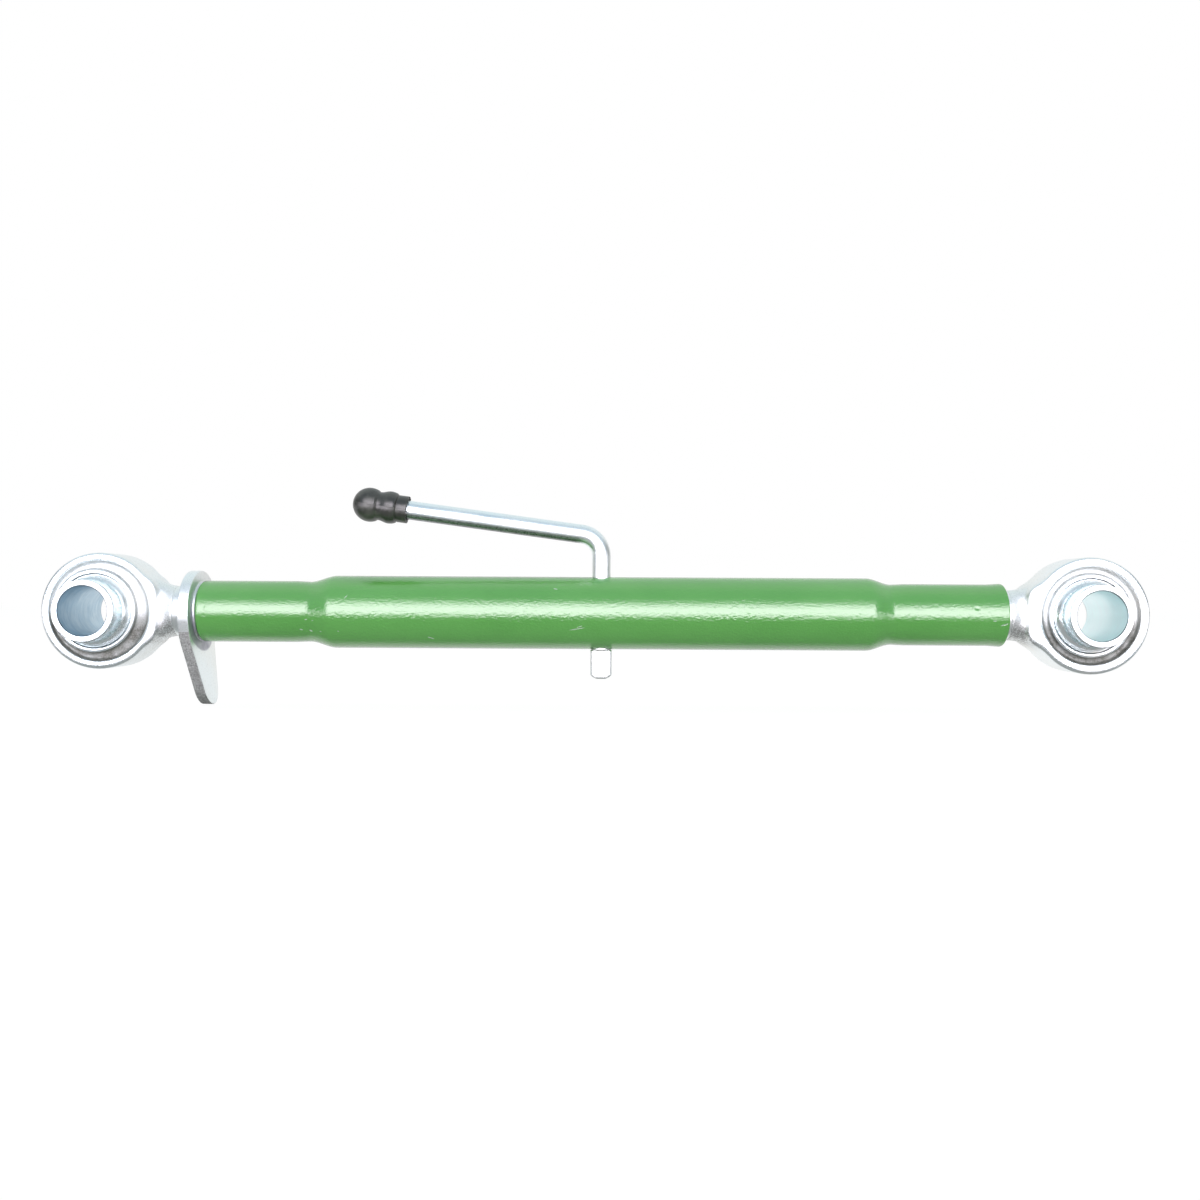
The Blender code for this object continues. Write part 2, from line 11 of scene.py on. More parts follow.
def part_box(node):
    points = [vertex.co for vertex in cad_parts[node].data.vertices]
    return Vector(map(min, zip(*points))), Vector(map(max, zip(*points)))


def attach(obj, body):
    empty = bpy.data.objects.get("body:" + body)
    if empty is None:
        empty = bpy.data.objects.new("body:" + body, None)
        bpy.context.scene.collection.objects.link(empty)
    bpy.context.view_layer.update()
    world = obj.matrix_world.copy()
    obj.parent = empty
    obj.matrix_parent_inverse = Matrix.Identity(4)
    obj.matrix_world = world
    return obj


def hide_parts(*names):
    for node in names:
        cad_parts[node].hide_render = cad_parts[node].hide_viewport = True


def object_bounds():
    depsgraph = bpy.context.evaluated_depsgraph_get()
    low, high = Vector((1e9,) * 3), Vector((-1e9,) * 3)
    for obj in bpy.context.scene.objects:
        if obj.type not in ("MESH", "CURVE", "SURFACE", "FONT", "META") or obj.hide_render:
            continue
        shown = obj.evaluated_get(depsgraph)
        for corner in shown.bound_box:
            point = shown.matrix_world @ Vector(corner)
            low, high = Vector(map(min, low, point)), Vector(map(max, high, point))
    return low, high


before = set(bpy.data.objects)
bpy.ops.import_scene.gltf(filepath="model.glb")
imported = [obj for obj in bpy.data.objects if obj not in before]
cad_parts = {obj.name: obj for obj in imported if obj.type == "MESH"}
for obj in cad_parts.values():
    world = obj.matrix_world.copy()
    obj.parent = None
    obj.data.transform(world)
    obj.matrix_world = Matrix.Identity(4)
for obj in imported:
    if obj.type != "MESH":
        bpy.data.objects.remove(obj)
CAD_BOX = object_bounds()


def span(node, axis):
    """How far a CAD node reaches along one axis: (lowest, highest)."""
    low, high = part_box(node)
    return low[axis], high[axis]


# Where the frame puts the main pieces
TUBE_START, TUBE_END = span("barrel_tube", 0)
TUBE_RADIUS = span("barrel_tube", 2)[1]
BALL_HALF_WIDTH = span("tractor_ball", 1)[1]
LINK_LENGTH = sum(span("implement_ball", 0)) / 2
NUT_START = span("lock_nut", 0)[0]
TRACTOR_ROD = span("tractor_screw", 0)
IMPLEMENT_ROD = span("implement_screw", 0)
BAR_PLACE = (TUBE_START + TUBE_END) / 2
BAR_FOOT = span("handle_bar", 2)[0]

# How many steps a turned form is cut into
TURNED_STEPS = 160
ROD_STEPS = 96
BAR_STEPS = 64
GRIP_STEPS = 192

# Ball with its two collars
PIN_BORE_RADIUS = 0.0128
PIN_BORE_EDGE = 0.0009
BALL_RADIUS = 0.0225
COLLAR_RADIUS = 0.0162
COLLAR_EDGE = 0.0007
COLLAR_FILLET = 0.0005
COLLAR_STEP = 0.0011

# Forged eye
EYE_RADIUS = 0.0305
EYE_HALF_THICKNESS = 0.0125
EYE_EDGE = 0.0018
TRACTOR_RING_SHIFT = 0.0025
MOUTH_RADIUS = 0.0195
SOCKET_RADIUS = 0.0228
LIP_WIDTH = 0.0022
LIP_DROP = 0.0004
LIP_EDGE = 0.0009
TRACTOR_GROOVE_WIDTH = 0.0049
IMPLEMENT_GROOVE_WIDTH = 0.0041
GROOVE_DEPTH = 0.0031
GROOVE_WALL_LEAN = 0.0010
GROOVE_LIP_LEAN = 0.0002
GROOVE_OUTER_FILLET = 0.0012
GROOVE_INNER_FILLET = 0.0010
NECK_FILLET = 0.0250
NECK_LENGTH = 0.0410
TAB_LENGTH = 0.0330
TAB_HALF_HEIGHT = 0.0090
TAB_CORNER = 0.0050
WAIST_HALF_THICKNESS = 0.0110
WAIST_FROM_WELD = 0.0060
NECK_BELOW_FACE = 0.0010
NECK_BELOW_FLANK = 0.0001
NECK_WELD_EDGE = 0.0003
FORGING_GRAIN = 0.00042
FORGING_SOFTENING = 5
NECK_SOFTENING = 60
NECK_EASE_START = 0.0205
NECK_EASE_RUN = 0.0060
NECK_EASE_END = 0.0008
NECK_EASE_END_RUN = 0.0030

# Screws and barrel tube
THREAD_RADIUS = 0.0133
THREAD_PITCH = 0.0030
THREAD_DEPTH = 0.0017
THREAD_FOOT_SHARE = 0.86
THREAD_CREST_SHARE = 0.14
THREAD_SUNK_SHARE = 1.04
THREAD_STOPS_SHORT = 0.0025
PLAIN_SHANK = 0.0052
SHANK_TAPER = 0.0016
ROD_SUNK = 0.0004
ROD_END_CHAMFER = 0.0006
SMALL_STEP = 0.0002
WELD_WIDTH = 0.0022
WELD_HEIGHT = 0.0003
END_RADIUS = 0.01625
BORE_RADIUS = 0.0136
TUBE_WALL = 0.0036
TRACTOR_END_LENGTH = 0.0565
IMPLEMENT_END_LENGTH = 0.0580
TRACTOR_SWAGE_LENGTH = 0.0145
IMPLEMENT_SWAGE_LENGTH = 0.0135
SWAGE_NECK_DEPTH = 0.0003
FLARE = 0.0004
FLARE_LENGTH = 0.0080
FLARE_LIP = 0.0016
FLARE_CURVE = 0.0030
TRACTOR_END_EDGE = 0.0009
IMPLEMENT_END_EDGE = 0.0008

# Lock nut
NUT_THICKNESS = 0.0055
NUT_RADIUS = 0.0215
BOSS_RADIUS = 0.0155
BOSS_HEIGHT = 0.0014
BOSS_EDGE = 0.0004
TONGUE_TIP_RADIUS = 0.0105
TONGUE_REACH = 0.0390
TONGUE_BEND_START = 0.0120
TONGUE_BEND_RADIUS = 0.0200
TONGUE_LEAN = math.radians(10.5)
TORN_BELOW = 0.0105
TORN_OUTSIDE = NUT_RADIUS * 0.6
NUT_CUTTERS_REACH = 0.0100
NUT_BLANK_REACH = 0.0500
NUT_SIDE_REACH = NUT_RADIUS * 1.3
NUT_GRAIN = 0.00030
NUT_SOFTENING = 2

# Handle and grip
BAR_RADIUS = 0.0050
BAR_HOLE_RADIUS = 0.0056
BAR_BEND_RADIUS = 0.0120
BAR_CHAMFER = 0.0009
BAR_CHAMFER_SLOPE = 0.8
ARM_HEIGHT = 0.0406
ARM_SLOPE = math.radians(7.6)
ARM_LENGTH = 0.1285
PRESSED_HALF_WIDTH = 0.0058
PRESSED_HALF_THICKNESS = 0.0041
PRESSED_RUN = 0.0008
PRESSED_CORNER = 0.0020
PRESSED_SQUARENESS = 0.6
FINE_PATH_ABOVE = 0.0020
GRIP_LENGTH = 0.0298
GRIP_END_RADIUS = 0.00907
GRIP_WAIST_RADIUS = 0.0075
GRIP_WAIST_FROM_END = 0.0142
GRIP_BULB_RADIUS = 0.0086
GRIP_BULB_HALF = 0.0046
GRIP_SLEEVE_RADIUS = 0.0072
GRIP_SLEEVE_LENGTH = 0.0056
GRIP_END_WALL = 0.0050
GRIP_END = ARM_LENGTH + GRIP_END_WALL
GRIP_MOUTH = GRIP_END - GRIP_LENGTH
GRIP_GAP = 0.0003
GRIP_MOUTH_EDGE = 0.0006
GRIP_BORE_EDGE = 0.0003
GRIP_MOUTH_CHAMFER = 0.0020
GRIP_STEP = 0.0004
GRIP_TEAR = 0.0012
GRIP_TEAR_WAVE = 0.0007
GRIP_TEAR_FRINGE = 0.0004
GRIP_TEAR_LIFT = 0.0003
GRIP_SEAM = 0.00012
GRIP_SEAM_HALF_ANGLE = 0.035
GRIP_SEAM_START = 0.001
GRIP_SEAM_OUTSIDE = 0.0008

# Flecks in the green paint, each a place, a half length, a half width and a slope, and a dent
SCUFFS = (
    ((0.1123, -0.0160, -0.0039), 0.0009, 0.0003, -0.2),
    ((0.1159, -0.0159, -0.0044), 0.0006, 0.0003, 0.0),
    ((0.1093, -0.0137, -0.0092), 0.0011, 0.0004, 0.25),
    ((0.1144, -0.0132, -0.0098), 0.0011, 0.0005, 0.4),
    ((0.1199, -0.0131, -0.0101), 0.0008, 0.0003, 0.17),
    ((0.1294, -0.0164, -0.0099), 0.0005, 0.0003, 0.3),
    ((0.1334, -0.0174, 0.0079), 0.0016, 0.0002, -0.9),
    ((0.1772, -0.0139, -0.0132), 0.0021, 0.0003, 0.3),
    ((0.2532, -0.0174, -0.0080), 0.0048, 0.0003, -0.17),
    ((0.2545, -0.0174, -0.0068), 0.0018, 0.0002, -0.3),
    ((0.2419, -0.0145, 0.0126), 0.0014, 0.0003, 0.2),
    ((0.4687, -0.0160, -0.0028), 0.0011, 0.0003, 0.0),
    ((0.4737, -0.0155, -0.0047), 0.0024, 0.0004, -0.3),
)
SCUFF_DEPTH = 0.004
DENT_PLACE = (0.4597, -0.0158, 0.0035)
DENT_REACH = (0.0021, 0.004, 0.0014)

# Colours of the finishes
ZINC_COOL = (0.84, 0.89, 0.90)
ZINC_WARM = (0.90, 0.91, 0.89)
ZINC_BLUE = (0.80, 0.89, 0.92)
ZINC_SPECK = (0.48, 0.49, 0.48)
# Tractor bore: blue-grey painted shade inside the bore
TRACTOR_BORE_SHADE = (0.40, 0.55, 0.66)
IMPLEMENT_BORE = (0.78, 0.94, 0.95)
DRILL_ARC = (0.80, 0.87, 0.90)
CHATTER = (0.62, 0.78, 0.80)
# Darker patches on the collars' face edges
DARK_COLLAR_EDGES = (0.16, 0.18, 0.19)
# Scale in the eyes' grooves, darkened further as painted shade
SCALE_AND_SHADE_DARK = (0.10, 0.097, 0.086)
SCALE_AND_SHADE_PALE = (0.31, 0.305, 0.285)
# Speckle on the forged neck, with painted shade towards its underside
NECK_SPECKLE_AND_SHADE = (0.30, 0.29, 0.28)
# Painted shade along the handle arm's underside
ARM_UNDERSIDE_PAINTED_SHADE = (0.075, 0.065, 0.080)
# Painted shade in a ring round the lock nut's boss
PLATE_RING_SHADE = (0.36, 0.34, 0.42)
GREEN_DEEP = (0.108, 0.425, 0.066)
GREEN_LIGHT = (0.126, 0.458, 0.080)
GREEN_CHIPPED = (0.50, 0.68, 0.49)
TORN_DARK = (0.20, 0.20, 0.195)
TORN_BRIGHT = (0.62, 0.63, 0.62)
TORN_BAND = (0.36, 0.36, 0.35)
RUBBER_BLACK = (0.020, 0.020, 0.016)
RUBBER_DUSTY = (0.058, 0.060, 0.050)
RUBBER_SPOT = (0.16, 0.16, 0.15)

# The studio
WHITE = (1.0, 1.0, 1.0)
FLOOR_BELOW = 0.0006
FLOOR_REACH = 6.0
FLOOR_LIT = (0.46, 0.47, 0.48)
FLOOR_SHOWN = (0.10, 0.10, 0.10)
FLOOR_WHITE = (0.955, 0.955, 0.955)
FLOOR_FRONT = (0.0, -0.01)
CAMERA_PLACE = (0.2709, -0.6002, 0.0074)
CAMERA_YAW = math.radians(0.58)
CAMERA_PITCH = math.radians(-0.04)
CAMERA_ROLL = math.radians(-0.30)
CAMERA_LENS = 33.88
BACKDROP_EDGE = (-0.30, 0.10)
BACKDROP_TOP = (0.30, 0.80)
BOX_LOWER_EDGE = (-0.26, -0.04)
BOX_UPPER_EDGE = (0.70, 0.24)
BOX_SIDE_EDGE = (0.60, 0.44)
SIDE_EDGE = (0.72, 0.93)
SHADE_EDGE = (-0.004, 0.014)
SOFT_BOX = (1.9, 1.9, 1.9)
SOFT_BOX_MIRRORED = (6.9, 6.5, 7.1)
ROOM_ABOVE = (0.22, 0.25, 0.27)
ROOM_MIRRORED = (0.56, 0.67, 0.77)
BACKDROP_ABOVE = (0.20, 0.23, 0.24)
BACKDROP_MIRRORED = (0.86, 0.95, 0.98)
DARK_SIDE = (0.34, 0.36, 0.37)
DARK_BELOW = (0.28, 0.29, 0.28)
FLOOR_SHADE = (0.32, 0.33, 0.33)
FLOOR_DROP = 0.060
FLOOR_GLOW = (0.28, 0.03)
OVERHEAD_PLACE = (LINK_LENGTH / 2, 0.12, 1.5)
OVERHEAD_SIZE = (0.6, 0.08)
OVERHEAD_POWER = 4.2
OVERHEAD_COLOUR = (0.96, 0.98, 1.0)
FILL_PLACE = (LINK_LENGTH / 2, -0.9, 0.0)
FILL_SIZE = (1.6, 0.08)
FILL_POWER = 3.6

ALONG_X = Matrix(((0, 0, 1), (1, 0, 0), (0, 1, 0))).to_4x4()
ALONG_Y = Matrix(((1, 0, 0), (0, 0, 1), (0, -1, 0))).to_4x4()


# Mesh helpers


def smooth_step(t):
    """0 up to t = 0 and 1 from t = 1, with a soft rise between them."""
    t = min(max(t, 0.0), 1.0)
    return t * t * (3.0 - 2.0 * t)


def arc(centre, radius, start, end, steps):
    """Points on an arc from one angle to another."""
    turns = [start + (end - start) * i / steps for i in range(steps + 1)]
    return [(centre[0] + radius * math.cos(a), centre[1] + radius * math.sin(a)) for a in turns]


def curve_between(start, middle, end, steps):
    """Points on the smooth curve that leaves start towards middle and comes from middle to end."""
    points = []
    for i in range(steps + 1):
        t = i / steps
        points.append(tuple(start.lerp(middle, t).lerp(middle.lerp(end, t), t)))
    return points


def rounded(corners, steps=6):
    """A polyline of (a, b, radius) corners, each with a radius turned into an arc of short edges."""
    points = []
    for i, (a, b, radius) in enumerate(corners):
        here = Vector((a, b))
        before = Vector(corners[i - 1][:2]) - here
        after = Vector(corners[(i + 1) % len(corners)][:2]) - here
        if radius <= 0.0:
            points.append((a, b))
            continue
        half = before.angle(after) / 2
        reach = min(radius / math.tan(half), before.length * 0.49, after.length * 0.49)
        start = here + before.normalized() * reach
        end = here + after.normalized() * reach
        points += curve_between(start, here, end, steps)
    return points


def bridge(bm, rings, closed):
    """Faces between rings of points, each ring closed, and the last joined to the first if closed."""
    pairs = list(zip(rings, rings[1:]))
    if closed:
        pairs.append((rings[-1], rings[0]))
    count = max(len(ring) for ring in rings)
    for near, far in pairs:
        for i in range(count):
            j = (i + 1) % count
            if len(near) == 1:
                bm.faces.new((near[0], far[j], far[i]))
            elif len(far) == 1:
                bm.faces.new((near[i], near[j], far[0]))
            else:
                bm.faces.new((near[i], near[j], far[j], far[i]))


def turned_mesh(profile, steps, matrix, wobble=None):
    """(radius, height) points turned about the height axis.

    The profile closes on itself, or has both ends on the axis. A wobble may move each point.
    """
    bm = bmesh.new()
    rings = []
    for radius, height in profile:
        if radius == 0.0:
            rings.append([bm.verts.new(matrix @ Vector((0.0, 0.0, height)))])
            continue
        ring = []
        for i in range(steps):
            a = math.tau * i / steps
            r, h = (radius, height) if wobble is None else wobble(a, radius, height)
            ring.append(bm.verts.new(matrix @ Vector((r * math.cos(a), r * math.sin(a), h))))
        rings.append(ring)
    bridge(bm, rings, closed=profile[0][0] > 0.0)
    return bm


def extruded_mesh(outline, across, low, high):
    """A flat outline in X and Z made solid across Y, or one in Y and Z made solid across X."""
    bm = bmesh.new()
    if across == "Y":
        layers = [[bm.verts.new((a, h, b)) for a, b in outline] for h in (low, high)]
    else:
        layers = [[bm.verts.new((h, a, b)) for a, b in outline] for h in (low, high)]
    bridge(bm, layers, closed=False)
    bm.faces.new(layers[0])
    bm.faces.new(layers[1])
    return bm


def solid(name, bm, crisp=35.0):
    """An object of this mesh with its normals outward, smooth apart from its sharp edges."""
    bmesh.ops.recalc_face_normals(bm, faces=bm.faces)
    for face in bm.faces:
        face.smooth = True
    for edge in bm.edges:
        if len(edge.link_faces) == 2 and edge.calc_face_angle(0.0) > math.radians(crisp):
            edge.smooth = False
    mesh = bpy.data.meshes.new(name)
    bm.to_mesh(mesh)
    bm.free()
    thing = bpy.data.objects.new(name, mesh)
    bpy.context.scene.collection.objects.link(thing)
    return thing


def settled(thing, crisp=35.0):
    """The object with its modifiers made part of its mesh."""
    bpy.context.view_layer.update()
    graph = bpy.context.evaluated_depsgraph_get()
    mesh = bpy.data.meshes.new_from_object(thing.evaluated_get(graph))
    name = thing.name
    bpy.data.objects.remove(thing)
    bm = bmesh.new()
    bm.from_mesh(mesh)
    bpy.data.meshes.remove(mesh)
    return solid(name, bm, crisp)


def cut(thing, cutters, operation="DIFFERENCE"):
    """Booleans with each cutter in turn, which is then thrown away."""
    for cutter in cutters:
        boolean = thing.modifiers.new("cut", "BOOLEAN")
        boolean.operation = operation
        boolean.solver = "EXACT"
        boolean.object = cutter
    thing = settled(thing)
    for cutter in cutters:
        bpy.data.objects.remove(cutter)
    return thing


def forged(thing, grain, softening):
    """Melts a cut-together solid into one skin with the soft edges of a forging."""
    remesh = thing.modifiers.new("skin", "REMESH")
    remesh.mode = "VOXEL"
    remesh.voxel_size = grain
    remesh.use_smooth_shade = True
    smooth = thing.modifiers.new("soft edges", "SMOOTH")
    smooth.factor = 0.5
    smooth.iterations = softening
    return settled(thing, 180.0)


def eased(thing, weight, rounds):
    """Smooths a skin further where the weight of a place says so."""
    group = thing.vertex_groups.new(name="eased")
    for corner in thing.data.vertices:
        amount = weight(corner.co)
        if amount > 0.0:
            group.add([corner.index], amount, "REPLACE")
    smooth = thing.modifiers.new("eased", "SMOOTH")
    smooth.factor = 0.5
    smooth.iterations = rounds
    smooth.vertex_group = "eased"
    return settled(thing, 180.0)


def finish_piece(thing, body, slot, materials, *nodes):
    """Gives a piece its finish and sets it on its body in place of the CAD nodes."""
    thing.data.materials.clear()
    for material in materials:
        thing.data.materials.append(material)
    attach(thing, body)
    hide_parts(*nodes)
    return thing


# Node helpers


class Nodes:
    """A node tree, with short ways to add nodes to it."""

    def __init__(self, tree):
        self.tree = tree

    def add(self, kind):
        return self.tree.nodes.new(kind)

    def put(self, socket, value):
        if isinstance(value, bpy.types.NodeSocket):
            self.tree.links.new(value, socket)
        else:
            socket.default_value = value

    def math(self, operation, a, b=0.0):
        node = self.add("ShaderNodeMath")
        node.operation = operation
        for socket, value in zip(node.inputs, (a, b)):
            self.put(socket, value)
        return node.outputs[0]

    def plus(self, a, b):
        return self.math("ADD", a, b)

    def times(self, first, *others):
        product = first
        for other in others:
            product = self.math("MULTIPLY", product, other)
        return product

    def split(self, vector):
        """The X, Y and Z of a vector."""
        node = self.add("ShaderNodeSeparateXYZ")
        self.put(node.inputs[0], vector)
        return node.outputs

    def joined(self, x, y, z=0.0):
        node = self.add("ShaderNodeCombineXYZ")
        for socket, value in zip(node.inputs, (x, y, z)):
            self.put(socket, value)
        return node.outputs[0]

    def length(self, a, b):
        """The length of a flat vector."""
        return self.math("SQRT", self.plus(self.times(a, a), self.times(b, b)))

    def range(self, value, low, high, to_low=0.0, to_high=1.0, smooth=False):
        node = self.add("ShaderNodeMapRange")
        node.interpolation_type = "SMOOTHSTEP" if smooth else "LINEAR"
        for socket, number in zip(node.inputs, (value, low, high, to_low, to_high)):
            self.put(socket, number)
        return node.outputs[0]

    def step(self, value, edge):
        """A soft step of a number from 0 at an edge's first value to 1 at its second."""
        return self.range(value, *edge, smooth=True)

    def window(self, value, low, high, soft):
        """1 between two distances, fading to 0 outside them."""
        fall = self.range(value, high, high + soft, 1.0, 0.0, smooth=True)
        return self.times(self.step(value, (low - soft, low)), fall)

    def mix(self, amount, a, b):
        """Two colours mixed by a number."""
        node = self.add("ShaderNodeMix")
        node.data_type = "RGBA"
        self.put(node.inputs["Factor"], amount)
        for socket, colour in ((node.inputs["A"], a), (node.inputs["B"], b)):
            self.put(socket, (*colour, 1.0) if isinstance(colour, tuple) else colour)
        return node.outputs["Result"]


class Finish(Nodes):
    """A piece's material: its shader, and patterns that lie in the object's own space."""

    def __init__(self, name):
        self.material = bpy.data.materials.new(name)
        self.material.use_nodes = True
        super().__init__(self.material.node_tree)
        self.shader = self.tree.nodes["Principled BSDF"]
        self.coords = self.add("ShaderNodeTexCoord").outputs["Object"]

    def placed(self, place=(0, 0, 0), turn=(0, 0, 0), size=(1, 1, 1)):
        """Object coordinates seen from a place, turned and in units of a size."""
        node = self.add("ShaderNodeMapping")
        node.vector_type = "TEXTURE"
        self.put(node.inputs["Vector"], self.coords)
        node.inputs["Location"].default_value = place
        node.inputs["Rotation"].default_value = turn
        node.inputs["Scale"].default_value = size
        return node.outputs[0]

    def grain(self, scale, detail=3.0, rough=0.55, vector=None):
        node = self.add("ShaderNodeTexNoise")
        self.put(node.inputs["Vector"], self.coords if vector is None else vector)
        node.inputs["Scale"].default_value = scale
        node.inputs["Detail"].default_value = detail
        node.inputs["Roughness"].default_value = rough
        return node.outputs["Fac"]

    def bump(self, height, distance, strength=1.0, below=None):
        node = self.add("ShaderNodeBump")
        node.inputs["Strength"].default_value = strength
        node.inputs["Distance"].default_value = distance
        self.put(node.inputs["Height"], height)
        if below is not None:
            self.put(node.inputs["Normal"], below)
        return node.outputs[0]

    def set(self, **values):
        for name, value in values.items():
            self.put(self.shader.inputs[name.replace("_", " ")], value)

    def near(self, place, size, turn=(0, 0, 0), full=0.6):
        """1 at a place and out to a share of the size's reach, falling to 0 at the reach."""
        node = self.add("ShaderNodeVectorMath")
        node.operation = "LENGTH"
        self.put(node.inputs[0], self.placed(place, turn, size))
        return self.step(node.outputs["Value"], (1.0, full))


# Materials


def about_pin(finish, centre):
    """A point about a pin's axis: how far off it, how far along it, its turn and its height."""
    x, y, z = finish.split(finish.placed(centre))
    return finish.length(x, z), finish.math("ABSOLUTE", y), finish.math("ARCTAN2", z, x), z


class Zinc(Finish):
    """Clear passivated zinc: cloudy colour, uneven gloss, and the skin of what lies under it."""

    def __init__(self, name, dull=0.32, bright=0.20, pitted=0.00006):
        super().__init__(name)
        clouds = self.grain(38.0, 4.0)
        drift = self.grain(9.0, 2.0)
        pale = self.mix(self.range(clouds, 0.40, 0.62), ZINC_COOL, ZINC_WARM)
        colour = self.mix(self.range(drift, 0.45, 0.62, 0.0, 0.5), pale, ZINC_BLUE)
        specks = self.grain(1500.0, 3.0, 0.7)
        dark = self.range(specks, 0.34, 0.44, 0.5, 0.0)
        self.colour = self.mix(dark, colour, ZINC_SPECK)
        cloudy = self.range(clouds, 0.35, 0.65, bright, dull)
        self.rough = self.plus(cloudy, self.range(specks, 0.3, 0.7, 0.05, 0.0))
        self.skin = self.bump(self.grain(700.0, 4.0, 0.65), pitted)
        self.set(Metallic=1.0)

    def bare(self, amount):
        """Takes the metal's shine away by an amount, where darker edges, scale and painted shade lie on the
        zinc.
        """
        self.set(Metallic=self.range(amount, 0.0, 1.0, 1.0, 0.2), Specular_IOR_Level=0.2)

    def done(self):
        self.set(Base_Color=self.colour, Roughness=self.rough, Normal=self.skin)
        return self.material


def add_lathe_rings(finish, radius, along, turn):
    """Fine rings left by the lathe."""
    place = finish.joined(radius, along, finish.times(turn, 0.0004))
    rings = finish.grain(2600.0, 2.0, 0.6, place)
    finish.skin = finish.bump(rings, 0.000012, 1.0, finish.skin)


def add_drilled_bore(finish, centre, radius, colour):
    """A duller bore in the given colour, with the drill's arcs in it. A dark given colour is painted shade
    inside the bore.
    """
    bore = finish.range(radius, PIN_BORE_RADIUS + 0.0006, PIN_BORE_RADIUS + 0.0002)
    place = finish.placed(centre, size=(4.0, 1.0, 4.0))
    arcs = finish.range(finish.grain(520.0, 3.0, 0.6, place), 0.35, 0.65, 0.0, 0.35)
    finish.colour = finish.mix(bore, finish.colour, finish.mix(arcs, colour, DRILL_ARC))
    finish.rough = finish.plus(finish.rough, finish.times(bore, 0.14))


def add_chatter(finish, radius, along, turn):
    """Short marks of a chattering tool round the sides of the collars."""
    side = finish.window(radius, COLLAR_RADIUS - 0.0003, COLLAR_RADIUS + 0.0004, 0.0002)
    inward = finish.range(along, BALL_HALF_WIDTH - 0.0004, BALL_HALF_WIDTH - 0.0010)
    place = finish.joined(finish.times(turn, 9.0), finish.times(along, 120.0))
    marks = finish.range(finish.grain(1.6, 2.0, 0.5, place), 0.35, 0.65)
    chatter = finish.times(side, inward, marks)
    finish.colour = finish.mix(chatter, finish.colour, CHATTER)
    finish.skin = finish.bump(chatter, 0.00008, 0.8, finish.skin)


def add_darker_edges(finish, radius, along):
    """Darker patches along the edges of the collars' faces."""
    inner = finish.window(radius, PIN_BORE_RADIUS, PIN_BORE_RADIUS + 0.0002, 0.0002)
    outer = finish.window(radius, COLLAR_RADIUS - 0.0001, COLLAR_RADIUS + 0.0001, 0.0002)
    patchy = finish.range(finish.grain(70.0, 2.0), 0.38, 0.60, 0.1, 0.9)
    corner = finish.range(along, BALL_HALF_WIDTH - 0.0014, BALL_HALF_WIDTH - 0.0006)
    # Darker in patches at the inner and outer edges of each face
    darker_edges = finish.times(finish.math("MAXIMUM", inner, outer), patchy, corner)
    finish.colour = finish.mix(darker_edges, finish.colour, DARK_COLLAR_EDGES)
    finish.bare(darker_edges)


def ball_finish(name, centre, bore_colour):
    """Turned ball: lathe rings on its faces, and a duller bore."""
    finish = Zinc(name, pitted=0.00002)
    radius, along, turn = about_pin(finish, centre)[:3]
    add_lathe_rings(finish, radius, along, turn)
    add_drilled_bore(finish, centre, radius, bore_colour)
    add_chatter(finish, radius, along, turn)
    add_darker_edges(finish, radius, along)
    return finish.done()


def groove_scale_and_shade(finish, radius, along, turn, shift):
    """How much scale and painted shade lie in the groove round the lip, deeper in and most of it low down.
    """
    low = MOUTH_RADIUS + LIP_WIDTH + 0.0002
    # Painted shade with the scale: darker deeper in the groove and low round the eye
    ring = finish.window(radius, low, low + TRACTOR_GROOVE_WIDTH + shift * 0.6, 0.0005)
    down = finish.step(along, (EYE_HALF_THICKNESS - 0.0004, EYE_HALF_THICKNESS - 0.0012))
    patchy = finish.range(finish.grain(160.0, 3.0, 0.6), 0.30, 0.60, 0.72, 1.0)
    lowest = finish.range(finish.math("SINE", turn), 0.2, -0.5, 0.40, 1.0, smooth=True)
    return finish.times(ring, down, patchy, lowest)


def forging_finish(name, centre, shift):
    """Forged eye: dull scale and painted shade down in the groove round the lip, and a rough speckled neck
    with painted shade towards its underside.
    """
    finish = Zinc(name, dull=0.36, bright=0.24, pitted=0.00009)
    radius, along, turn, height = about_pin(finish, centre)
    grit = finish.grain(1300.0, 3.0, 0.7)
    groove = groove_scale_and_shade(finish, radius, along, turn, shift)
    scale = finish.mix(finish.range(grit, 0.35, 0.65), SCALE_AND_SHADE_DARK, SCALE_AND_SHADE_PALE)
    finish.colour = finish.mix(groove, finish.colour, scale)
    finish.bare(groove)
    neck = finish.range(radius, EYE_RADIUS, EYE_RADIUS + 0.004)
    # Painted shade: the neck's speckle grows darker towards the underside
    below = finish.range(height, 0.002, -0.009, 0.15, 1.0, smooth=True)
    speckle_and_shade = finish.times(neck, below, finish.range(grit, 0.46, 0.58, 0.7, 0.0))
    finish.colour = finish.mix(speckle_and_shade, finish.colour, NECK_SPECKLE_AND_SHADE)
    finish.rough = finish.plus(finish.rough, finish.times(groove, 0.16))
    finish.rough = finish.plus(finish.rough, finish.times(neck, 0.12))
    finish.skin = finish.bump(finish.times(grit, finish.plus(groove, neck)), 0.00012, 1.0, finish.skin)
    return finish.done()


def scuffed(finish):
    """How far the paint is knocked off, in small flecks with broken edges."""
    mark = 0.0
    for place, length, width, slope in SCUFFS:
        fleck = finish.near(place, (length, SCUFF_DEPTH, width), (0.0, slope, 0.0))
        mark = finish.math("MAXIMUM", mark, fleck)
    return finish.times(mark, finish.range(finish.grain(1500.0, 3.0, 0.7), 0.36, 0.46))


